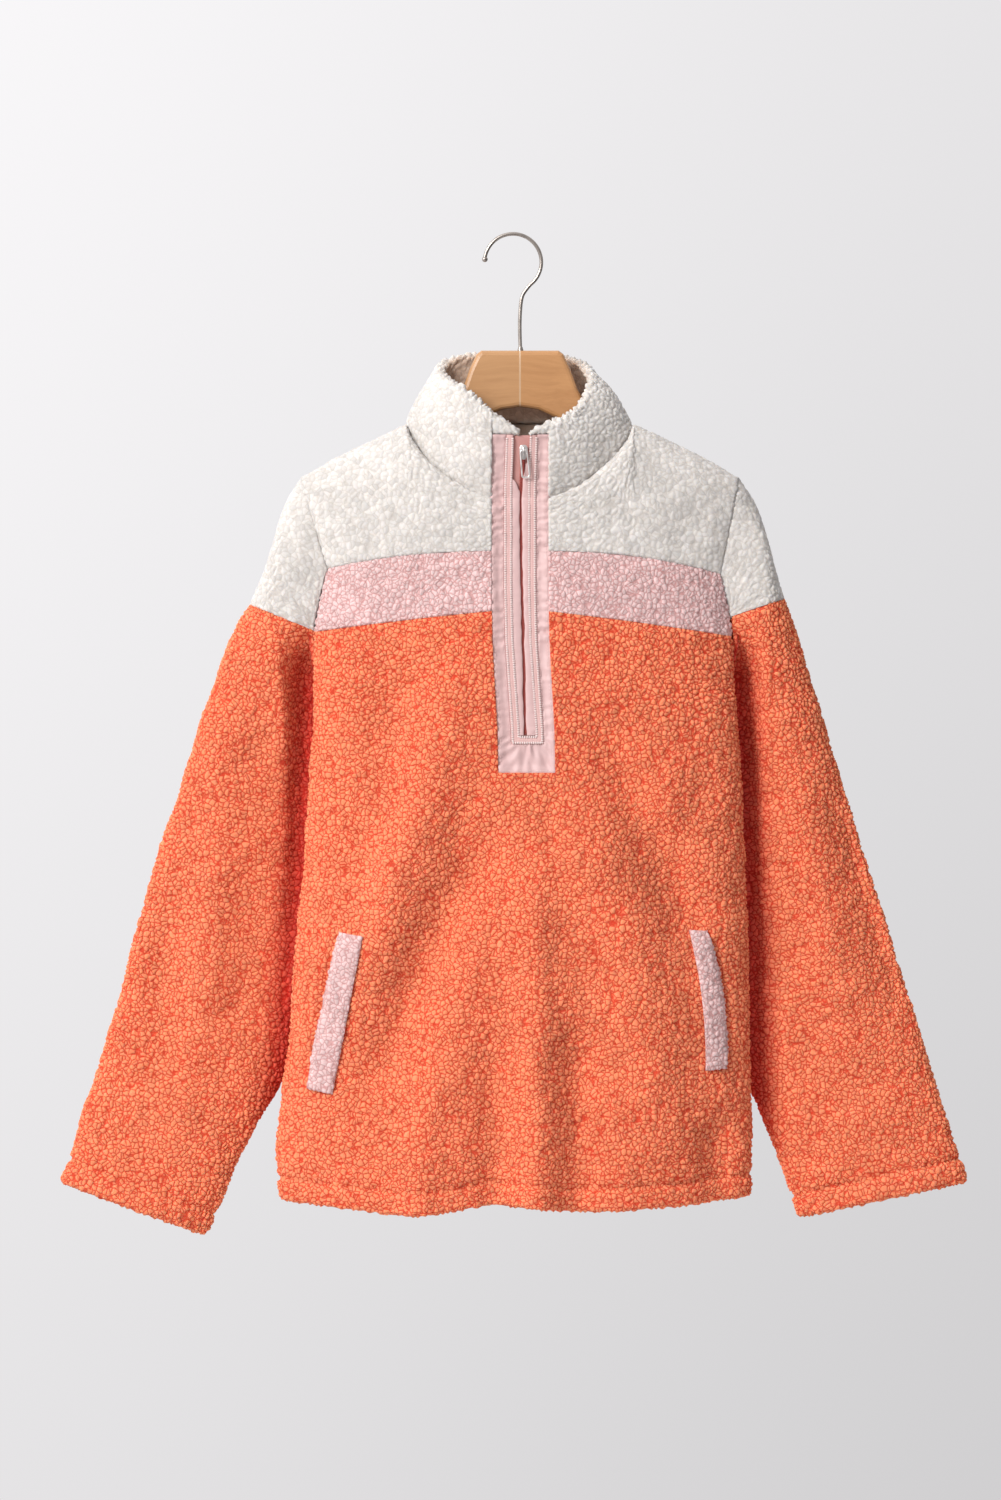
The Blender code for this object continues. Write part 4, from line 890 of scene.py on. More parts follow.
def sleeve_column(rings, side, turn, start):
    """The knots of one line down the sleeve, at this turn round it."""
    c, s = np.cos(2 * np.pi * turn), np.sin(2 * np.pi * turn)
    across = np.sign(c) * abs(c) ** 0.85
    through = np.sign(s) * abs(s) ** 0.85
    column = [start]
    for ring in rings:
        outer = np.array([side * ring.outer_x, ring.outer_y, ring.outer_z])
        inner = np.array([side * ring.inner_x, ring.inner_y, ring.inner_z])
        half = (outer - inner) / 2
        down = unit(np.array([half[2], 0, -half[0]]))
        down = down if down[2] < 0 else -down
        point = (outer + inner) / 2 + half * across + down * ring.bow * s * s
        point[1] -= ring.thick / 2 * through
        column.append(point)
    return np.array(column)


def past_body(x, z, side):
    """How far a sleeve's points lie out from the body's edge."""
    row = level(np.clip(z, LEVELS[0].mid, LEVELS[-1].mid))
    return side * x - (row.left if side < 0 else row.right)


def sleeve_points(rings, side, turn, start, places):
    """Points down one line of the sleeve, kept behind the body's front where they meet."""
    points = flow(np.arange(LAST_RING + 1), sleeve_column(rings, side, turn, start), places)
    ahead = max(0.0, np.sin(2 * np.pi * turn))
    x, y, z = points.T
    reach = past_body(x, z, side)
    limit = 5.0 - 42.0 * smooth((reach - 4) / 42)
    tucked = smooth((-326 - z) / 52) * smooth(places / 0.4) * smooth(ahead / 0.15)
    push = limit - y
    push = 0.5 * (push + np.sqrt(push**2 + 16))
    points[:, 1] = y + push * tucked
    return points


def cap_place(rings, cap, side, turn, start):
    """How far down one line of the sleeve the white cap ends."""
    places = np.linspace(0, 4, 400)
    points = sleeve_points(rings, side, turn, start, places)
    line = np.array([cap.inner_x - cap.outer_x, cap.inner_z - cap.outer_z])
    down = np.array([line[1], -line[0]])
    down = down / np.linalg.norm(down) * (-1 if down[1] > 0 else 1)
    flat = np.stack([side * points[:, 0] - cap.outer_x, points[:, 2] - cap.outer_z], -1)
    run = run_along(points)
    beyond = np.nonzero(flat @ down > 0)[0]
    at = run[beyond[0]] if len(beyond) else run[-1]
    return np.interp(max(at, 1.5), run, places)


FINE_LEFT = (
    Fold(-1.8, 8, ((-200, -400), (-226, -440), (-262, -470))),
    Fold(1.6, 9, ((-214, -500), (-240, -530), (-280, -552))),
    Fold(-1.6, 8, ((-225, -640), (-262, -668), (-300, -676))),
    Fold(1.5, 9, ((-262, -760), (-300, -740), (-340, -728))),
)
FINE_RIGHT = (
    Fold(-1.8, 8, ((198, -420), (226, -440), (256, -446))),
    Fold(1.6, 9, ((214, -520), (244, -540), (280, -546))),
    Fold(-1.6, 8, ((226, -650), (262, -668), (300, -664))),
    Fold(1.5, 9, ((250, -770), (290, -748), (330, -730))),
)


def sleeve(front, back, marks, back_marks, side, rings, cap, folds, fine_folds):
    """The orange sleeve's tube and the white cap above it."""
    column = 0 if side < 0 else -1
    up = front.points[marks["underarm"] :, column]
    down = back.points[back_marks["underarm"] :, column][::-1]
    loop = np.vstack([up, down[1:]])
    tip = len(up) - 1
    run = run_along(loop)
    corner = int(np.abs(marks["levels"][marks["underarm"] : marks["yoke"] + 1] - cap.top_row).argmin())
    stops = [0, corner, tip, len(loop) - 1 - corner, len(loop) - 1]
    places, edges = [], [0]
    for a, b in zip(stops[:-1], stops[1:]):
        cells = counted(run[b] - run[a], STEP * 1.25)
        places.append(np.linspace(run[a], run[b], cells + 1)[:-1])
        edges.append(edges[-1] + cells)
    places = np.concatenate(places)
    starts = np.stack([np.interp(places, run, loop[:, k]) for k in range(3)], -1)
    turns = np.where(
        places <= run[tip], 0.5 * (1 - places / run[tip]), -0.5 * (places - run[tip]) / (run[-1] - run[tip])
    )
    first, last = edges[1], edges[3]
    seams = np.zeros(len(places))
    for i in range(first, last + 1):
        seams[i] = cap_place(rings, cap, side, turns[i], starts[i])
    rows = counted(SLEEVE_RUN, STEP * 1.08)
    lines = []
    for start, turn, seam in zip(starts, turns, seams):
        fine = sleeve_points(rings, side, turn, start, np.linspace(seam, LAST_RING, 400))
        lines.append(along(fine, np.linspace(0, 1, rows + 1)))
    grid = np.array(lines).transpose(1, 0, 2)
    net = tube(grid, side, edges[2])
    x, z = grid[..., 0], grid[..., 2]
    ahead = np.sin(2 * np.pi * turns)[None, :]
    from_top = run_along(grid)
    from_cuff = from_top[-1:] - from_top
    calm = smooth(from_top / 25)
    lift = 1.4 * fold_height(folds, x, z) * smooth(np.abs(ahead) / 0.5) * smooth((from_top - 40) / 60)
    lift += fold_height(fine_folds, x, z) * smooth(np.abs(ahead) / 0.5) * calm
    lift += (1.2 * grain(grid, 40.0, 13.0 + side) + 0.5 * grain(grid, 15.0, 2.0)) * calm
    lift += pinch(from_cuff - CUFF_BAND, *HEM_GROOVE)
    lift += 0.8 * smooth(from_cuff / 5) * smooth((CUFF_BAND - 2 - from_cuff) / 5)
    lift -= rounded_off(from_cuff)
    lift += pinch(from_top)
    net = tube(net.lifted(lift), side, edges[2])
    reach = past_body(x, z, side)
    # Painted shade: the sleeve's colour darkens and reddens in the valley beside the body.
    shade = (1 - smooth((reach - 2) / 30)) * smooth((-330 - z) / 60) * smooth((ahead + 0.3) / 0.3)
    shade = np.maximum(shade * smooth((from_cuff - 5) / 90), 0.0)
    cap_rows = counted(CAP_RUN, STEP)
    cap_lines = []
    for i in range(first, last + 1):
        fine = sleeve_points(rings, side, turns[i], starts[i], np.linspace(0, seams[i], 120))
        cap_lines.append(along(fine, np.linspace(0, 1, cap_rows + 1)))
    cap_grid = np.array(cap_lines).transpose(1, 0, 2)
    cap_net = Net(cap_grid, 0)
    if (cap_net.normals[:, edges[2] - first, 0] * side).sum() < 0:
        cap_net.normals = -cap_net.normals
    run_down = run_along(cap_grid)
    total = run_down[-1:]
    lift = pinch(run_down) + pinch(total - run_down)
    lift += 1.0 * grain(cap_grid, 30.0, 21.0 + side) * smooth(run_down / 15) * smooth((total - run_down) / 15)
    cap_net.points = cap_net.lifted(lift)
    return net, cap_net, shade


def tube(points, side, outer_column):
    """A net whose last column joins its first."""
    wide = np.concatenate([points[:, -2:], points, points[:, :2]], axis=1)
    full = Net(wide, 0)
    net = full.part(columns=slice(2, -2))
    if (net.normals[:, outer_column, 0] * side).sum() < 0:
        net.normals = -net.normals
    return net


# The collar

def build_collar():
    """The stand collar, double, with a round upper edge; its ends reach the zip over the placket's top."""
    edge_turn = np.degrees(np.arcsin((PLACKET_HALF + GAP / 2) / NECK_HALF))
    under = np.linspace(0.6, edge_turn - 0.12, counted(23, STEP) + 1)
    span = np.linspace(edge_turn + 0.12, 360 - edge_turn - 0.12, counted(COLLAR_ROUND, STEP) + 1)
    other = np.linspace(360 - edge_turn + 0.12, 355.5, counted(16, STEP) + 1)
    turns = np.concatenate([under, span, other])
    base = neck(turns)
    top = flow(COLLAR_EDGE[:, 0], COLLAR_EDGE[:, 1:], turns)
    tangent = unit(np.gradient(top, axis=0) + np.gradient(base, axis=0))
    up = unit(top - base)
    outward = unit(np.cross(tangent, up))
    if (outward * (base - base.mean(axis=0)))[:, :2].sum() < 0:
        outward = -outward
    from_front = np.minimum(turns, 360 - turns)
    share = smooth((from_front - edge_turn - 1) / 6)[:, None]
    outward = unit(outward * share + np.array([0, -1, 0]) * (1 - share))
    beneath = from_front < edge_turn
    outer_cells, arc_cells, inner_cells = counted(COLLAR_TALL, STEP), 10, counted(COLLAR_TALL, STEP * 2)
    loops = []
    warm = []
    for i in range(len(turns)):
        tall = np.linalg.norm(top[i] - base[i])
        thick = COLLAR + (1.6 if beneath[i] else 0.0)
        rim = thick / 2
        if beneath[i]:
            rim = np.clip((top[i, 2] - PLACKET_TOP) / 2, 1.5, thick / 2)
        reach = 1 - rim / tall
        s = np.linspace(-3.0 / tall, reach, outer_cells + 1)
        places = base[i] + (top[i] - base[i]) * s[:, None]
        bulge = COLLAR_BULGE * np.sin(np.pi * np.clip(s / reach, 0, 1)) * (not beneath[i])
        drop = UNDER_PLACKET * (1 - smooth((places[:, 2] - PLACKET_TOP - 0.2) / 3.0)) if beneath[i] else 0.0
        seam = pinch(s * tall, 1.3, 3.4) * (not beneath[i])
        outer = places + outward[i] * (bulge - drop + seam)[:, None]
        middle = base[i] + (top[i] - base[i]) * reach - outward[i] * thick / 2
        angles = np.linspace(0, np.pi, arc_cells + 1)[1:-1, None]
        arc = middle + outward[i] * thick / 2 * np.cos(angles) + up[i] * rim * np.sin(angles)
        s_in = np.linspace(reach, 0, inner_cells + 1)
        bulge_in = COLLAR_BULGE * np.sin(np.pi * s_in / reach) * (not beneath[i])
        inner = base[i] + (top[i] - base[i]) * s_in[:, None] + outward[i] * (bulge_in - thick)[:, None]
        loops.append(np.vstack([outer, arc, inner]))
        # Painted shade, with a painted warm reflection of the wood, over the collar's rim and inside, stronger
        # towards the back.
        shade_share = np.concatenate([np.zeros(len(outer)), np.linspace(0, 1, len(arc)) ** 2, np.ones(len(inner))])
        warm.append(shade_share * (0.35 + 0.65 * smooth((from_front[i] - 60) / 60)))
    ring = np.array(loops)
    rows, columns = ring.shape[:2]
    beside = np.roll(ring, -1, axis=1) - np.roll(ring, 1, axis=1)
    out = unit(np.cross(np.gradient(ring, axis=0), beside))
    if (out[:, outer_cells // 2] * outward).sum() < 0:
        out = -out
    body = ring[:, : outer_cells + 1]
    net = Net(body, outward[:, None] * np.ones((1, body.shape[1], 1)))
    calm = smooth((from_front - edge_turn) / 6)[:, None] * smooth(np.linspace(0, 1, body.shape[1]) / 0.15)
    ring[:, : outer_cells + 1] = net.lifted(1.2 * grain(body, 28.0, 31.0) * calm)
    faces = []
    for i in range(rows - 1):
        for j in range(columns):
            k = (j + 1) % columns
            faces.append((i * columns + j, i * columns + k, (i + 1) * columns + k, (i + 1) * columns + j))
    faces.append(tuple(range(columns)))
    faces.append(tuple((rows - 1) * columns + j for j in reversed(range(columns))))
    fluff = np.ones((rows, columns))
    fluff[:, outer_cells + 10 :] = 0.8
    rim_at = np.abs(np.arange(columns) - (outer_cells + 5)) * STEP
    fluff *= 1 + 2.4 * np.exp(-((rim_at / 9) ** 2))
    attributes = {"fluff": fluff.ravel(), "warm": np.array(warm).ravel(), "out": out.reshape(-1, 3)}
    return face_outwards(mesh_object("collar_pile", ring.reshape(-1, 3), faces, white, attributes))


front, marks = torso(True)
back, back_marks = torso(False)
under, band, top = marks["underarm"], marks["band"], marks["yoke"]
cells, centre = marks["cells"], marks["centre"]
sheets = {}


def add_panel(name, net, thick, colour, **more):
    """One cut piece of sherpa, in place of the node of the same name."""
    obj = cloth(f"{name}_pile", net, thick, {"white": white, "pink": pink, "orange": orange}[colour], **more)
    pile(obj, *PERIOD[colour])
    sheets[name] = hang(obj, [name])


def slit(row, column):
    """The cells that the placket takes the place of."""
    return not (row >= under // COARSE and cells // COARSE <= column < (cells + centre) // COARSE)


def body_thickness(net):
    """The body's wall below its stripe, thicker where the hem is turned up."""
    thick = np.full(net.points.shape[:2], SHERPA)
    thick[: int(HEM_TURNED / STEP)] = HEM_SHERPA
    return thick[: band + 1]


add_panel("front_body", front.part(slice(0, band + 1)), body_thickness(front), "orange", keep=slit)
for half, columns in {"left": slice(0, cells + 1), "right": slice(cells + centre, None)}.items():
    add_panel(f"front_band_{half}", front.part(slice(band, top + 1), columns), SHERPA, "pink")
    add_panel(f"front_yoke_{half}", front.part(slice(top, None), columns), SHERPA, "white")
add_panel("back_body", back.part(slice(0, band + 1)), body_thickness(back), "orange")
add_panel("back_band", back.part(slice(band, top + 1)), SHERPA, "pink")
add_panel("back_yoke", back.part(slice(top, None)), SHERPA, "white")
for name, side, rings, cap, folds, fine_folds in (
    ("left", -1, LEFT_RINGS, LEFT_CAP, LEFT_FOLDS, FINE_LEFT),
    ("right", 1, RIGHT_RINGS, RIGHT_CAP, RIGHT_FOLDS, FINE_RIGHT),
):
    net, cap_net, shade = sleeve(front, back, marks, back_marks, side, rings, cap, folds, fine_folds)
    add_panel(f"sleeve_{name}", net, SHERPA, "orange", wrap=True, warm=shade)
    add_panel(f"sleeve_cap_{name}", cap_net, SHERPA, "white")
sheets["collar"] = hang(build_collar(), ["collar"])
pile(sheets["collar"], *PERIOD["white"])


# The zip and its placket

centre_line = front.points[:, cells + centre // 2]
beside_line = (front.points[:, cells, 1] + front.points[:, cells + centre, 1]) / 2 - centre_line[:, 1]


def centre_depth(x, z):
    """The depth of the centre front, collar included, at (x, z)."""
    heights = centre_line[:, 2]
    curve = np.interp(z, heights, beside_line) * (x / PLACKET_HALF) ** 2
    low = np.interp(z, heights, centre_line[:, 1]) + curve
    share = np.clip((z - heights[-1]) / (COLLAR_EDGE[0, 3] - heights[-1]), 0, 1)
    return low + (COLLAR_EDGE[0, 2] + 0.005 * x**2 - low) * share


def pleat(x, z):
    """The taffeta's small gathers, drawn up by its rows of stitches."""
    shape = x.shape
    out = np.zeros(shape)
    for index in np.ndindex(shape):
        u, v = x[index], z[index]
        edge = min(abs(abs(u) - 14.5), abs(abs(u) - 22.0))
        near = np.exp(-((edge / 3.2) ** 2))
        busy = 0.55 + 0.9 * np.exp(-(((v + 235) / 38) ** 2)) + 0.5 * np.exp(-(((v + 330) / 30) ** 2))
        if v < FRAME_BOTTOM + 6:
            turn = np.arctan2(u, FRAME_BOTTOM + 12 - v)
            radius = np.hypot(u, FRAME_BOTTOM + 12 - v)
            out[index] = 1.15 * noise.noise(Vector((turn * 5.2, radius / 16, 4.0)))
        else:
            out[index] = busy * (0.35 + 0.75 * near) * noise.noise(Vector((u / 13, v / 4.2, 7.0)))
            out[index] += 0.55 * noise.noise(Vector((u / 7, v / 24, 1.0)))
    return out


def facing_grid(x, z, drop):
    """A net on the centre front, this far below the pile's outer surface."""
    y = centre_depth(x, z) + drop
    return Net(np.stack([x + drift(x, z), y, z], -1), (0, -1, 0))


def puff(distance, width, height):
    """A rounded ridge across a strip: distance is measured from its middle line."""
    return height * np.sqrt(np.clip(1 - (distance / (width / 2)) ** 2, 0, 1))


def noise_over(x, z, wide, tall, seed):
    """Uneven waves over a grid, this wide and tall in mm."""
    values = [noise.noise(Vector((a / wide, b / tall, seed))) for a, b in zip(x.ravel(), z.ravel())]
    return np.array(values).reshape(x.shape)


def u_strip(outer, inner, step, heights):
    """The grid of a U-shaped strip between two half widths, and what says which of its cells exist.

    heights holds the rows across its foot and the rows of its legs.
    """
    side, across = int(round((outer - inner) / step)), int(round(2 * inner / step))
    xs = np.concatenate([
        np.linspace(-outer, -inner, side + 1), np.linspace(-inner, inner, across + 1)[1:-1],
        np.linspace(inner, outer, side + 1),
    ])
    foot, legs = heights
    x, z = np.meshgrid(xs, np.concatenate([foot, legs[1:]]))

    def keep(row, column):
        return not (row >= len(foot) - 1 and side <= column < side + across)

    return x, z, keep


def build_placket():
    """The nylon U round the zip, tucked under the pile's edges."""
    step = 1.15
    outer, inner = PLACKET_HALF + TUCK, FRAME_HALF + GAP / 2
    low = int(round((FRAME_BOTTOM - PLACKET_BOTTOM) / step))
    high = int(round((PLACKET_TOP - FRAME_BOTTOM) / step))
    x, z, keep = u_strip(outer, inner, step, (
        np.linspace(PLACKET_BOTTOM - TUCK, FRAME_BOTTOM, low + 1),
        np.linspace(FRAME_BOTTOM, PLACKET_TOP + 1.8, high + 1),
    ))
    net = facing_grid(x, z, NYLON_DROP)
    edge = np.minimum(outer - np.abs(x), z - PLACKET_BOTTOM + TUCK)
    inside = np.maximum(np.abs(x) - inner, FRAME_BOTTOM - z)
    lift = 2.0 * pleat(x, z) * smooth(edge / 3) * smooth(inside / 2.2)
    lift += 1.9 * smooth((9 - edge) / 7) + 0.5 * smooth(inside / 2.0) + pinch(edge - 3.4, 0.4, 0.8)
    lift -= 1.1 * smooth((2.2 - edge) / 2.2)
    lift += 1.2 * smooth((z - PLACKET_TOP + 3) / 4)
    net.points = net.lifted(lift)
    return hang(cloth("placket_cloth", net, NYLON, nylon, keep=keep, k=1), ["placket"])


def build_frame():
    """The ribbed binding round the zip, a rounded strip."""
    step = 0.85
    outer, inner = FRAME_HALF + FRAME_EASE, FRAME_HALF - FRAME_WIDTH - FRAME_EASE
    low = int(round((outer - inner) / step))
    high = int(round((PLACKET_TOP - FRAME_BOTTOM - FRAME_WIDTH) / 1.3))
    inner_bottom = FRAME_BOTTOM + FRAME_WIDTH + FRAME_EASE
    x, z, keep = u_strip(outer, inner, step, (
        np.linspace(FRAME_BOTTOM - FRAME_EASE, inner_bottom, low + 1),
        np.linspace(inner_bottom, PLACKET_TOP + 1.5, high + 1),
    ))
    net = facing_grid(x, z, NYLON_DROP - 1.0)
    from_out = np.minimum(outer - np.abs(x), z - FRAME_BOTTOM + FRAME_EASE) - FRAME_EASE
    lift = puff(from_out - FRAME_WIDTH / 2, FRAME_WIDTH + 0.8, 1.2) - 0.7
    lift += 0.16 * np.cos(from_out * 2 * np.pi / 1.35)
    net.points = net.lifted(lift + 0.45 * noise_over(x, z, 9, 11, 2.0))
    obj = cloth("zip_frame_cloth", net, NYLON + 0.8, welt_cloth, keep=keep, k=1)
    return hang(obj, ["zip_frame"])


def zip_x(z):
    """The zip's line before the centre front's drift."""
    z = np.asarray(z, float)
    return flow(ZIP_LINE[:, 0], ZIP_LINE[:, 1], z) - drift(0.0, z)


def lip_edges(z):
    """The inner edges of the two lips at a height."""
    centre_x = zip_x(z)
    inner_half = FRAME_HALF - FRAME_WIDTH + 0.2
    spread = 4.2 * smooth((z - SLIDER_Z + 26) / 14)
    left = np.minimum(centre_x - ZIP_GAP / 2 - spread, inner_half - 3)
    right = np.minimum(centre_x + ZIP_GAP / 2 + spread * 0.4, inner_half - 1.2)
    return left, right, inner_half


def lip(name, side):
    """One soft lip over the coil, folded at its inner edge."""
    high = -208.5 if side < 0 else SLIDER_Z - 9.5
    zs = np.linspace(LIP_BOTTOM + 0.5, high, 240)
    left, right, inner_half = lip_edges(zs)
    columns = 9
    share = np.linspace(0, 1, columns)
    a = np.full(len(zs), -inner_half) if side < 0 else right
    b = left if side < 0 else np.full(len(zs), inner_half)
    wander = np.array([0.9 * noise.noise(Vector((0.3 + side, v / 11, 5.0))) for v in zs])
    wander -= 1.6 * smooth((zs - high + 14) / 14) * (side < 0)
    if side < 0:
        b = b + wander - 0.15
    else:
        a = a + wander + 0.15
    x = a[:, None] + (b - a)[:, None] * share
    z = np.repeat(zs[:, None], columns, axis=1)
    z -= 6.5 * share**2 * smooth((zs - high + 12) / 12)[:, None] * (side < 0)
    net = facing_grid(x, z, LIP_DROP)
    lift = puff(share * 2 - 1, 2.1, 0.9)[None, :] - 0.4
    net.points = net.lifted(lift + 0.4 * noise_over(x, z, 8, 4.5, side * 3.0))
    return hang(cloth(f"{name}_cloth", net, NYLON, nylon, k=1), [name])


def tape():
    """The tape behind the lips, wider where the left lip has ended."""
    zs = np.linspace(LIP_BOTTOM, PLACKET_TOP + 1.0, 120)
    centre_x = zip_x(zs)
    share = np.linspace(0, 1, 7)
    wide = smooth((zs + 226) / 14)
    left = (centre_x - TAPE_HALF) * (1 - wide) - 8.4 * wide
    right = np.minimum(centre_x + TAPE_HALF, 11.5)
    x = left[:, None] + (right - left)[:, None] * share
    z = np.repeat(zs[:, None], 7, axis=1)
    net = facing_grid(x, z, LIP_DROP + NYLON + 0.8)
    obj = cloth("zip_tape_cloth", net, 1.0, tape_cloth, k=1)
    return hang(obj, ["zip_tape"])


def beads(name, places, directions, length, radius, mat):
    """Many small rounded bars in one mesh, such as stitches or a coil's teeth."""
    places = np.asarray(places, float)
    directions = unit(np.asarray(directions, float))
    ahead = np.array([0.0, -1.0, 0.0])
    across = unit(np.cross(directions, ahead))
    out = unit(np.cross(across, directions))
    sides = 6
    rings = [(-0.5, 0.35), (-0.32, 0.9), (0.0, 1.0), (0.32, 0.9), (0.5, 0.35)]
    verts, faces = [], []
    angles = np.linspace(0, 2 * np.pi, sides, endpoint=False)
    for place_at, d, a, o in zip(places, directions, across, out):
        first = len(verts)
        for shift, size in rings:
            for angle in angles:
                spoke = (a * np.cos(angle) + o * np.sin(angle)) * radius * size
                verts.append(place_at + d * shift * length + spoke)
        for r in range(len(rings) - 1):
            for s in range(sides):
                t = (s + 1) % sides
                faces.append((first + r * sides + s, first + r * sides + t,
                              first + (r + 1) * sides + t, first + (r + 1) * sides + s))
        faces.append(tuple(first + s for s in reversed(range(sides))))
        faces.append(tuple(first + (len(rings) - 1) * sides + s for s in range(sides)))
    return mesh_object(name, verts, faces, mat)


def coil():
    """The teeth: short bars from each side that meet on the zip's line."""
    zs = np.arange(LIP_BOTTOM + 2, SLIDER_Z - 5, 1.25)
    x = zip_x(zs)
    y = centre_depth(x, zs) + LIP_DROP + 1.3
    sets, ways = [], []
    for side in (-1, 1):
        shift = 0.0 if side < 0 else 0.62
        sets.append(np.stack([x + drift(x, zs) + side * 0.95, y, zs + shift], -1))
        ways.append(np.tile([1.0, 0.0, 0.12 * side], (len(zs), 1)))
    obj = beads("zip_coil", np.vstack(sets), np.vstack(ways), 2.3, 0.5, teeth_mat)
    return hang(obj, [])


def stitches(name, line, drop, pitch=2.9, length=2.1, mat=None, radius=0.24, across=False):
    """A row of thread stitches along a line of (x, z) on the centre front, or of short bars across it."""
    line = np.asarray(line, float)
    run = run_along(line)
    at = np.arange(pitch / 2, run[-1], pitch)
    x, z = np.interp(at, run, line[:, 0]), np.interp(at, run, line[:, 1])
    ahead, behind = (np.stack([np.interp(at + d, run, line[:, k]) for k in (0, 1)], -1) for d in (0.5, -0.5))
    way = ahead - behind
    places = np.stack([x + drift(x, z), centre_depth(x, z) + drop, z], -1)
    if across:
        way = np.stack([-way[:, 1], way[:, 0]], -1)
    ways = np.stack([way[:, 0], np.zeros(len(x)), way[:, 1]], -1)
    return hang(beads(name, places, ways, length, radius, mat or stitch_mat), [])


sheets["placket"] = build_placket()
sheets["zip_frame"] = build_frame()
for name, side in (("zip_lip_left", -1), ("zip_lip_right", 1)):
    sheets[name] = lip(name, side)
sheets["zip_tape"] = tape()
teeth = coil()


def u_line(half, bottom):
    """Down one side of the placket, across and up the other."""
    return [(-half, PLACKET_TOP - 1), (-half, bottom), (half, bottom), (half, PLACKET_TOP - 1)]


sewing = {"zip_tape": [teeth]}
sewing["placket"] = [
    stitches("placket_stitches", u_line(PLACKET_HALF - 2.0, PLACKET_BOTTOM + 2.0), NYLON_DROP - 1.9),
    stitches("frame_stitches", u_line(FRAME_HALF + 1.6, FRAME_BOTTOM - 1.6), NYLON_DROP - 0.45),
]
sewing["zip_frame"] = [
    stitches(f"{name}_cord", u_line(FRAME_HALF - inset, FRAME_BOTTOM + inset), NYLON_DROP - 1.55, 1.9, 2.2,
             cord_mat, 0.74, across=True)
    for name, inset in (("outer", 0.5), ("inner", FRAME_WIDTH - 0.2))
]


# Metal

def tube_curve(name, points, radius, mat, cyclic=False, resolution=4):
    """A round wire along the points."""
    curve = bpy.data.curves.new(name, "CURVE")
    curve.dimensions = "3D"
    curve.bevel_depth = radius * MM
    curve.bevel_resolution = resolution
    curve.use_fill_caps = True
    spline = curve.splines.new("POLY")
    spline.points.add(len(points) - 1)
    for target, (x, y, z) in zip(spline.points, points):
        target.co = ((x + CROWN) * MM, y * MM, z * MM, 1)
    spline.use_cyclic_u = cyclic
    curve.materials.append(mat)
    return placed(name, curve)


def solid(name, bm, mat, smooth_angle=40):
    """A finished object of a bmesh, smooth but for its sharp edges."""
    bmesh.ops.recalc_face_normals(bm, faces=bm.faces[:])
    mesh = bpy.data.meshes.new(name)
    bm.to_mesh(mesh)
    bm.free()
    mesh.materials.append(mat)
    mesh.shade_smooth()
    mesh.set_sharp_from_angle(angle=np.radians(smooth_angle))
    return placed(name, mesh)


def plate(bm, outline, y_near, y_far, bevel, at):
    """A flat piece with this outline of (x, z), its edges rounded."""
    verts = [
        bm.verts.new(((at[0] + x + CROWN) * MM, (at[1] + y_near) * MM, (at[2] + z) * MM)) for x, z in outline
    ]
    face = bm.faces.new(verts)
    made = bmesh.ops.extrude_face_region(bm, geom=[face])["geom"]
    raised = [v for v in made if isinstance(v, bmesh.types.BMVert)]
    bmesh.ops.translate(bm, verts=raised, vec=(0, (y_far - y_near) * MM, 0))
    mine = set(verts + raised)
    edges = [e for e in bm.edges if e.verts[0] in mine and abs(e.verts[0].co.y - e.verts[1].co.y) < 1e-7]
    bmesh.ops.bevel(bm, geom=edges, offset=bevel * MM, segments=3, profile=0.5, affect="EDGES", material=-1)


def build_slider():
    """The slider's body, a shield with a bridge that the pull tab hangs on."""
    x = float(zip_x(SLIDER_Z) + drift(0.0, SLIDER_Z))
    y = float(centre_depth(x, SLIDER_Z)) + LIP_DROP - 0.6
    outline = []
    for t in np.linspace(0, 2 * np.pi, 40, endpoint=False):
        c, s = np.cos(t), np.sin(t)
        height = 6.3 * np.sign(s) * abs(s) ** 0.75
        width = 4.0 * (0.86 + 0.14 * (height / 6.3)) * np.sign(c) * abs(c) ** 0.7
        outline.append((width, height))
    bm = bmesh.new()
    plate(bm, outline, -1.35, -0.1, 0.4, (x, y, SLIDER_Z))
    plate(bm, [(0.9 * a, 0.9 * b) for a, b in outline], 1.2, 2.2, 0.3, (x, y, SLIDER_Z))
    post = [(-1.0, 2.0), (1.0, 2.0), (1.0, 5.0), (-1.0, 5.0)]
    plate(bm, post, -0.2, 1.4, 0.2, (x, y, SLIDER_Z))
    hang(solid("slider_body", bm, silver), ["zip_slider"])
    bridge = []
    for t in np.linspace(0, np.pi, 18):
        bridge.append((x, y - 1.2 - 1.55 * np.sin(t) ** 0.7, SLIDER_Z + 1.2 + 3.2 * np.cos(t)))
    hang(tube_curve("slider_bridge", bridge, 0.75, silver), [])


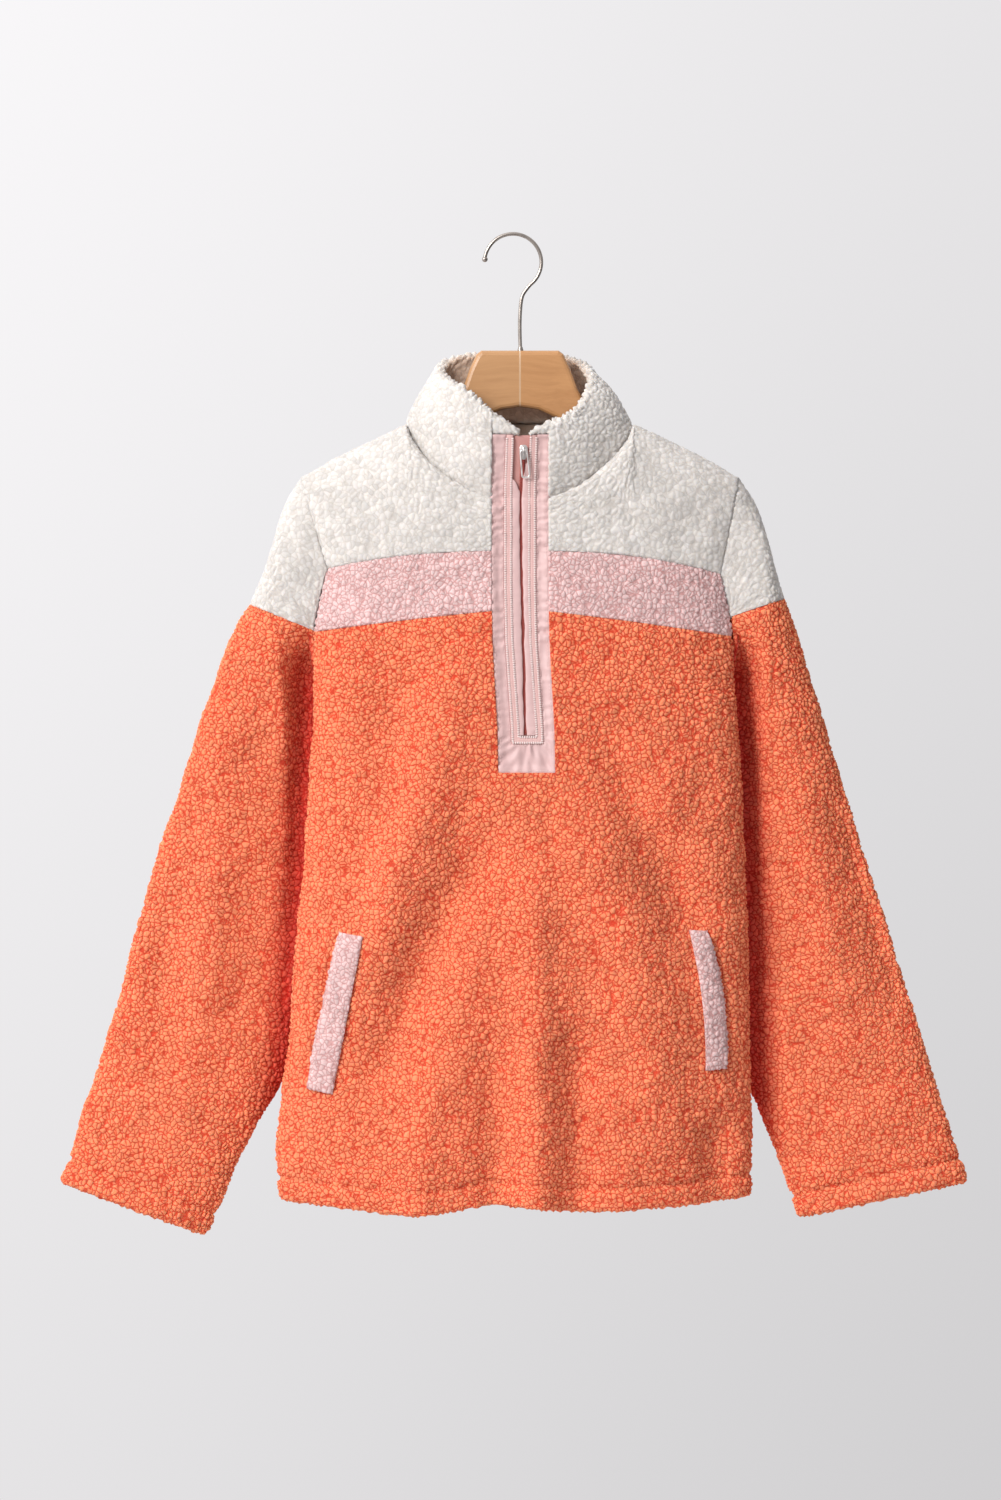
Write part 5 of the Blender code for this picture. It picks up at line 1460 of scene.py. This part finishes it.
def build_pull():
    """The slim wire loop, with a flat lower end, that leans a little to one side."""
    box = np.array(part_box("pull_tab")) / MM
    middle = (box[0] + box[1]) / 2
    top_z, low_z = box[1][2], box[0][2]
    width, length, radius = 6.3, top_z - low_z - 1.6, 1.8
    points = []
    for cx, cz, first in ((1, 0, 90), (1, -1, 0), (-1, -1, -90), (-1, 0, -180)):
        for i in range(7):
            a = np.radians(first - 90 * i / 6)
            centre_z = -radius if cz == 0 else -length + radius
            taper = 0.78 if cz == 0 else 1.0
            px = cx * (width / 2 - radius) * taper + radius * np.cos(a)
            points.append((px, centre_z + radius * np.sin(a)))
    lean = np.radians(5.0)
    loop = []
    for px, pz in points:
        loop.append((middle[0] - CROWN + px * np.cos(lean) - pz * np.sin(lean), PIVOT[0],
                     PIVOT[1] + px * np.sin(lean) + pz * np.cos(lean)))
    ring = tube_curve("pull_loop", loop, 0.85, silver, cyclic=True)
    hang(ring, ["pull_tab"], "pull_tab")


def build_hook():
    """The hanger's wire hook, with a ball at its tip and a collar where it enters the wood."""
    points = []
    for degrees in np.linspace(172, -52, 60):
        a = np.radians(degrees)
        points.append((-CROWN + HOOK_RADIUS * np.cos(a), 0, HOOK_Z + HOOK_RADIUS * np.sin(a)))
    knots = np.array([points[-1], *HOOK_STEM])
    run = run_along(knots)
    points += [tuple(p) for p in flow(run, knots, np.linspace(0, run[-1], 40))[1:]]
    hook = tube_curve("hook_wire", points, 1.6, metal, resolution=6)
    hang(hook, ["hook"])
    bm = bmesh.new()
    end = points[0]
    spot = Matrix.Translation(((end[0] + CROWN) * MM, 0, (end[2] - 0.8) * MM))
    bmesh.ops.create_uvsphere(bm, u_segments=24, v_segments=16, radius=2.5 * MM, matrix=spot)
    hang(solid("hook_ball", bm, metal), [])
    bm = bmesh.new()
    for radius, low, high in ((2.6, -98.3, -96.4), (2.1, -96.5, -94.9)):
        where = Matrix.Translation(((0.4 + CROWN) * MM, 0, (low + high) / 2 * MM))
        bmesh.ops.create_cone(bm, cap_ends=True, segments=28, radius1=radius * MM, radius2=radius * 0.92 * MM,
                              depth=(high - low) * MM, matrix=where)
    hang(solid("hook_collar", bm, metal, 50), [])


build_slider()
build_pull()
build_hook()
for node in ("hanger_left", "hanger_right"):
    held = bpy.data.objects[node] if node in bpy.data.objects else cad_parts[node]
    for place_of in held.material_slots:
        place_of.material = wood


# Pocket welts

def cloth_tree(net):
    """For finding the cloth's surface from in front."""
    rows, columns = net.points.shape[:2]
    faces = [
        (i * columns + j, i * columns + j + 1, (i + 1) * columns + j + 1, (i + 1) * columns + j)
        for i in range(rows - 1) for j in range(columns - 1)
    ]
    return BVHTree.FromPolygons(net.points.reshape(-1, 3).tolist(), faces)


front_tree = cloth_tree(front.part(slice(0, under)))


def front_depth(x, z):
    """The depth of the front's surface at each (x, z)."""
    y = np.zeros(x.shape)
    for index in np.ndindex(x.shape):
        y[index] = front_tree.ray_cast(Vector((x[index], -200, z[index])), Vector((0, 1, 0)))[0].y
    return y


def build_welt(name, side, corners):
    """A strip of sherpa with a turned, rounded outer edge that stands a little off the pocket's mouth."""
    wide = counted(20, STEP * 0.85)
    tall = counted(WELT_LONG, STEP)
    across, down = np.linspace(0, 1, wide + 1), np.linspace(0, 1, tall + 1)
    top = np.array(corners.top_out) + np.outer(across, np.subtract(corners.top_in, corners.top_out))
    low = np.array(corners.low_out) + np.outer(across, np.subtract(corners.low_in, corners.low_out))
    flat = top[None] + (low - top)[None] * down[:, None, None]
    flat[..., 0] += side * corners.bow * np.sin(np.pi * down)[:, None]
    x, z = flat[..., 0], flat[..., 1]
    net = Net(np.stack([x, front_depth(x, z), z], -1), (0, -1, 0))
    width = np.linalg.norm(flat[:, -1] - flat[:, 0], axis=1)[:, None]
    near = np.minimum(across[None, :], 1 - across[None, :]) * width
    ends = np.minimum(down, 1 - down)[:, None] * WELT_LONG
    height = 4.0 - 1.6 * (1 - smooth(near / 4.5)) - 1.0 * (1 - smooth(ends / 3.5))
    height = height + 0.9 * (1 - across[None, :]) ** 2 * smooth(ends / 12)
    net.points = net.lifted(height + 0.5 * grain(net.points, 18.0, side))
    net.normals = Net(net.points, (0, -1, 0)).normals
    add_panel(f"pocket_welt_{name}", net, WELT_THICK, "pink")


build_welt("left", -1, WELTS["left"])
build_welt("right", 1, WELTS["right"])


# What hangs how

# Each cut: its width and length in metres, its area in square metres and what it hangs from.
CUTS = {
    "front_yoke_left": (0.215, 0.133, 0.0152, ("hanger_left",)),
    "front_yoke_right": (0.214, 0.133, 0.0157, ("hanger_right",)),
    "back_yoke": (0.417, 0.126, 0.0396, ("hanger_left", "hanger_right")),
    "front_band_left": (0.161, 0.057, 0.0083, ("front_yoke_left",)),
    "front_band_right": (0.166, 0.058, 0.0087, ("front_yoke_right",)),
    "back_band": (0.311, 0.056, 0.0166, ("back_yoke",)),
    "front_body": (0.486, 0.519, 0.225, ("front_band_left", "front_band_right")),
    "back_body": (0.409, 0.515, 0.184, ("back_band",)),
    "sleeve_cap_left": (0.292, 0.117, 0.0144, ("front_yoke_left", "back_yoke")),
    "sleeve_cap_right": (0.260, 0.111, 0.0118, ("front_yoke_right", "back_yoke")),
    "sleeve_left": (0.467, 0.545, 0.172, ("sleeve_cap_left", "front_body")),
    "sleeve_right": (0.437, 0.545, 0.162, ("sleeve_cap_right", "front_body")),
    "collar": (0.560, 0.104, 0.0300, ("front_yoke_left", "front_yoke_right", "back_yoke")),
    "pocket_welt_left": (0.028, 0.138, 0.0037, ("front_body",)),
    "pocket_welt_right": (0.023, 0.122, 0.0026, ("front_body",)),
    "placket": (0.051, 0.287, 0.0086, ("front_body",)),
    "zip_frame": (0.027, 0.262, 0.0044, ("placket",)),
    "zip_lip_left": (0.012, 0.218, 0.0021, ("zip_frame",)),
    "zip_lip_right": (0.012, 0.230, 0.0021, ("zip_frame",)),
    "zip_tape": (0.013, 0.256, 0.0033, ("zip_frame",)),
}
for name, (width, length, area, hangs_from) in CUTS.items():
    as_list(sewing.get(name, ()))


# Room, light and camera

FLOOR_Z = -1.45
FLOOR_RADIUS = 1.5
LEVEL_FLOOR = Matrix.Translation((0, 0, FLOOR_Z))
bm = bmesh.new()
bmesh.ops.create_circle(bm, cap_ends=True, segments=96, radius=FLOOR_RADIUS, matrix=LEVEL_FLOOR)
mesh = bpy.data.meshes.new("floor")
bm.to_mesh(mesh)
bm.free()
floor_mat, tree, shader = nodes_of("floor")
dust = noise_at(tree, object_place(tree), 3.0, 3.0)[0]
fill(tree, shader, {"Base Color": mix(tree, dust, (0.74, 0.73, 0.73), (0.80, 0.79, 0.79)), "Roughness": 0.9})
mesh.materials.append(floor_mat)
placed("floor", mesh)

world = bpy.data.worlds.new("studio")
bpy.context.scene.world = world
world.use_nodes = True
tree = world.node_tree
way = add(tree, "ShaderNodeTexCoord").outputs["Generated"]
split = add(tree, "ShaderNodeSeparateXYZ", {0: way}).outputs
lean = add(tree, "ShaderNodeVectorMath", {0: way, 1: (-0.30, 0.17, 0.34)}, operation="DOT_PRODUCT")
glow = maths(tree, "ADD", lean.outputs["Value"], 0.62)
for axis, reach, low in (("X", 0.07, 0.07), ("Z", 0.09, -0.06)):
    glow = maths(tree, "ADD", glow, ramp(tree, split[axis], -reach, reach, low, -low))
shade = mix(tree, 1.0, (1.0, 0.985, 1.0), glow, "MULTIPLY")
fill(tree, tree.nodes["Background"], {"Color": shade, "Strength": 1.0})
bpy.context.scene.view_settings.view_transform = "Standard"


def lamp(name, power, size, at, aim, colour=(1, 1, 1)):
    """A square soft light that faces the point it is aimed at."""
    data = bpy.data.lights.new(name, "AREA")
    data.energy = power
    data.size = size
    data.color = colour
    obj = placed(name, data)
    obj.location = at
    obj.rotation_euler = (Vector(aim) - Vector(at)).to_track_quat("-Z", "Y").to_euler()


lamp("key", 255.0, 2.0, (-3.0, -3.9, 2.0), (0, 0, -0.4), (1.0, 0.985, 0.96))
lamp("fill", 5.0, 2.0, (2.4, -2.6, -0.2), (0, 0, -0.45))

AWAY = 9.0  # the camera's distance from the hook's plane, in metres
FRONT_DEPTH = 0.03  # how far the garment's front stands before that plane
PICTURE_HALF = 0.6375  # half of what the picture's height takes in at the garment's front
PICTURE_MIDDLE = (-0.0106, -0.4386)
camera = bpy.data.cameras.new("camera")
camera.sensor_fit = "VERTICAL"
camera.sensor_height = 24.0
camera.lens = 12.0 / (PICTURE_HALF / (AWAY - FRONT_DEPTH))
camera.clip_start = 0.05
eye = placed("camera", camera)
eye.location = (PICTURE_MIDDLE[0], -AWAY, PICTURE_MIDDLE[1])
eye.rotation_euler = (np.pi / 2, 0, 0)
bpy.context.scene.camera = eye
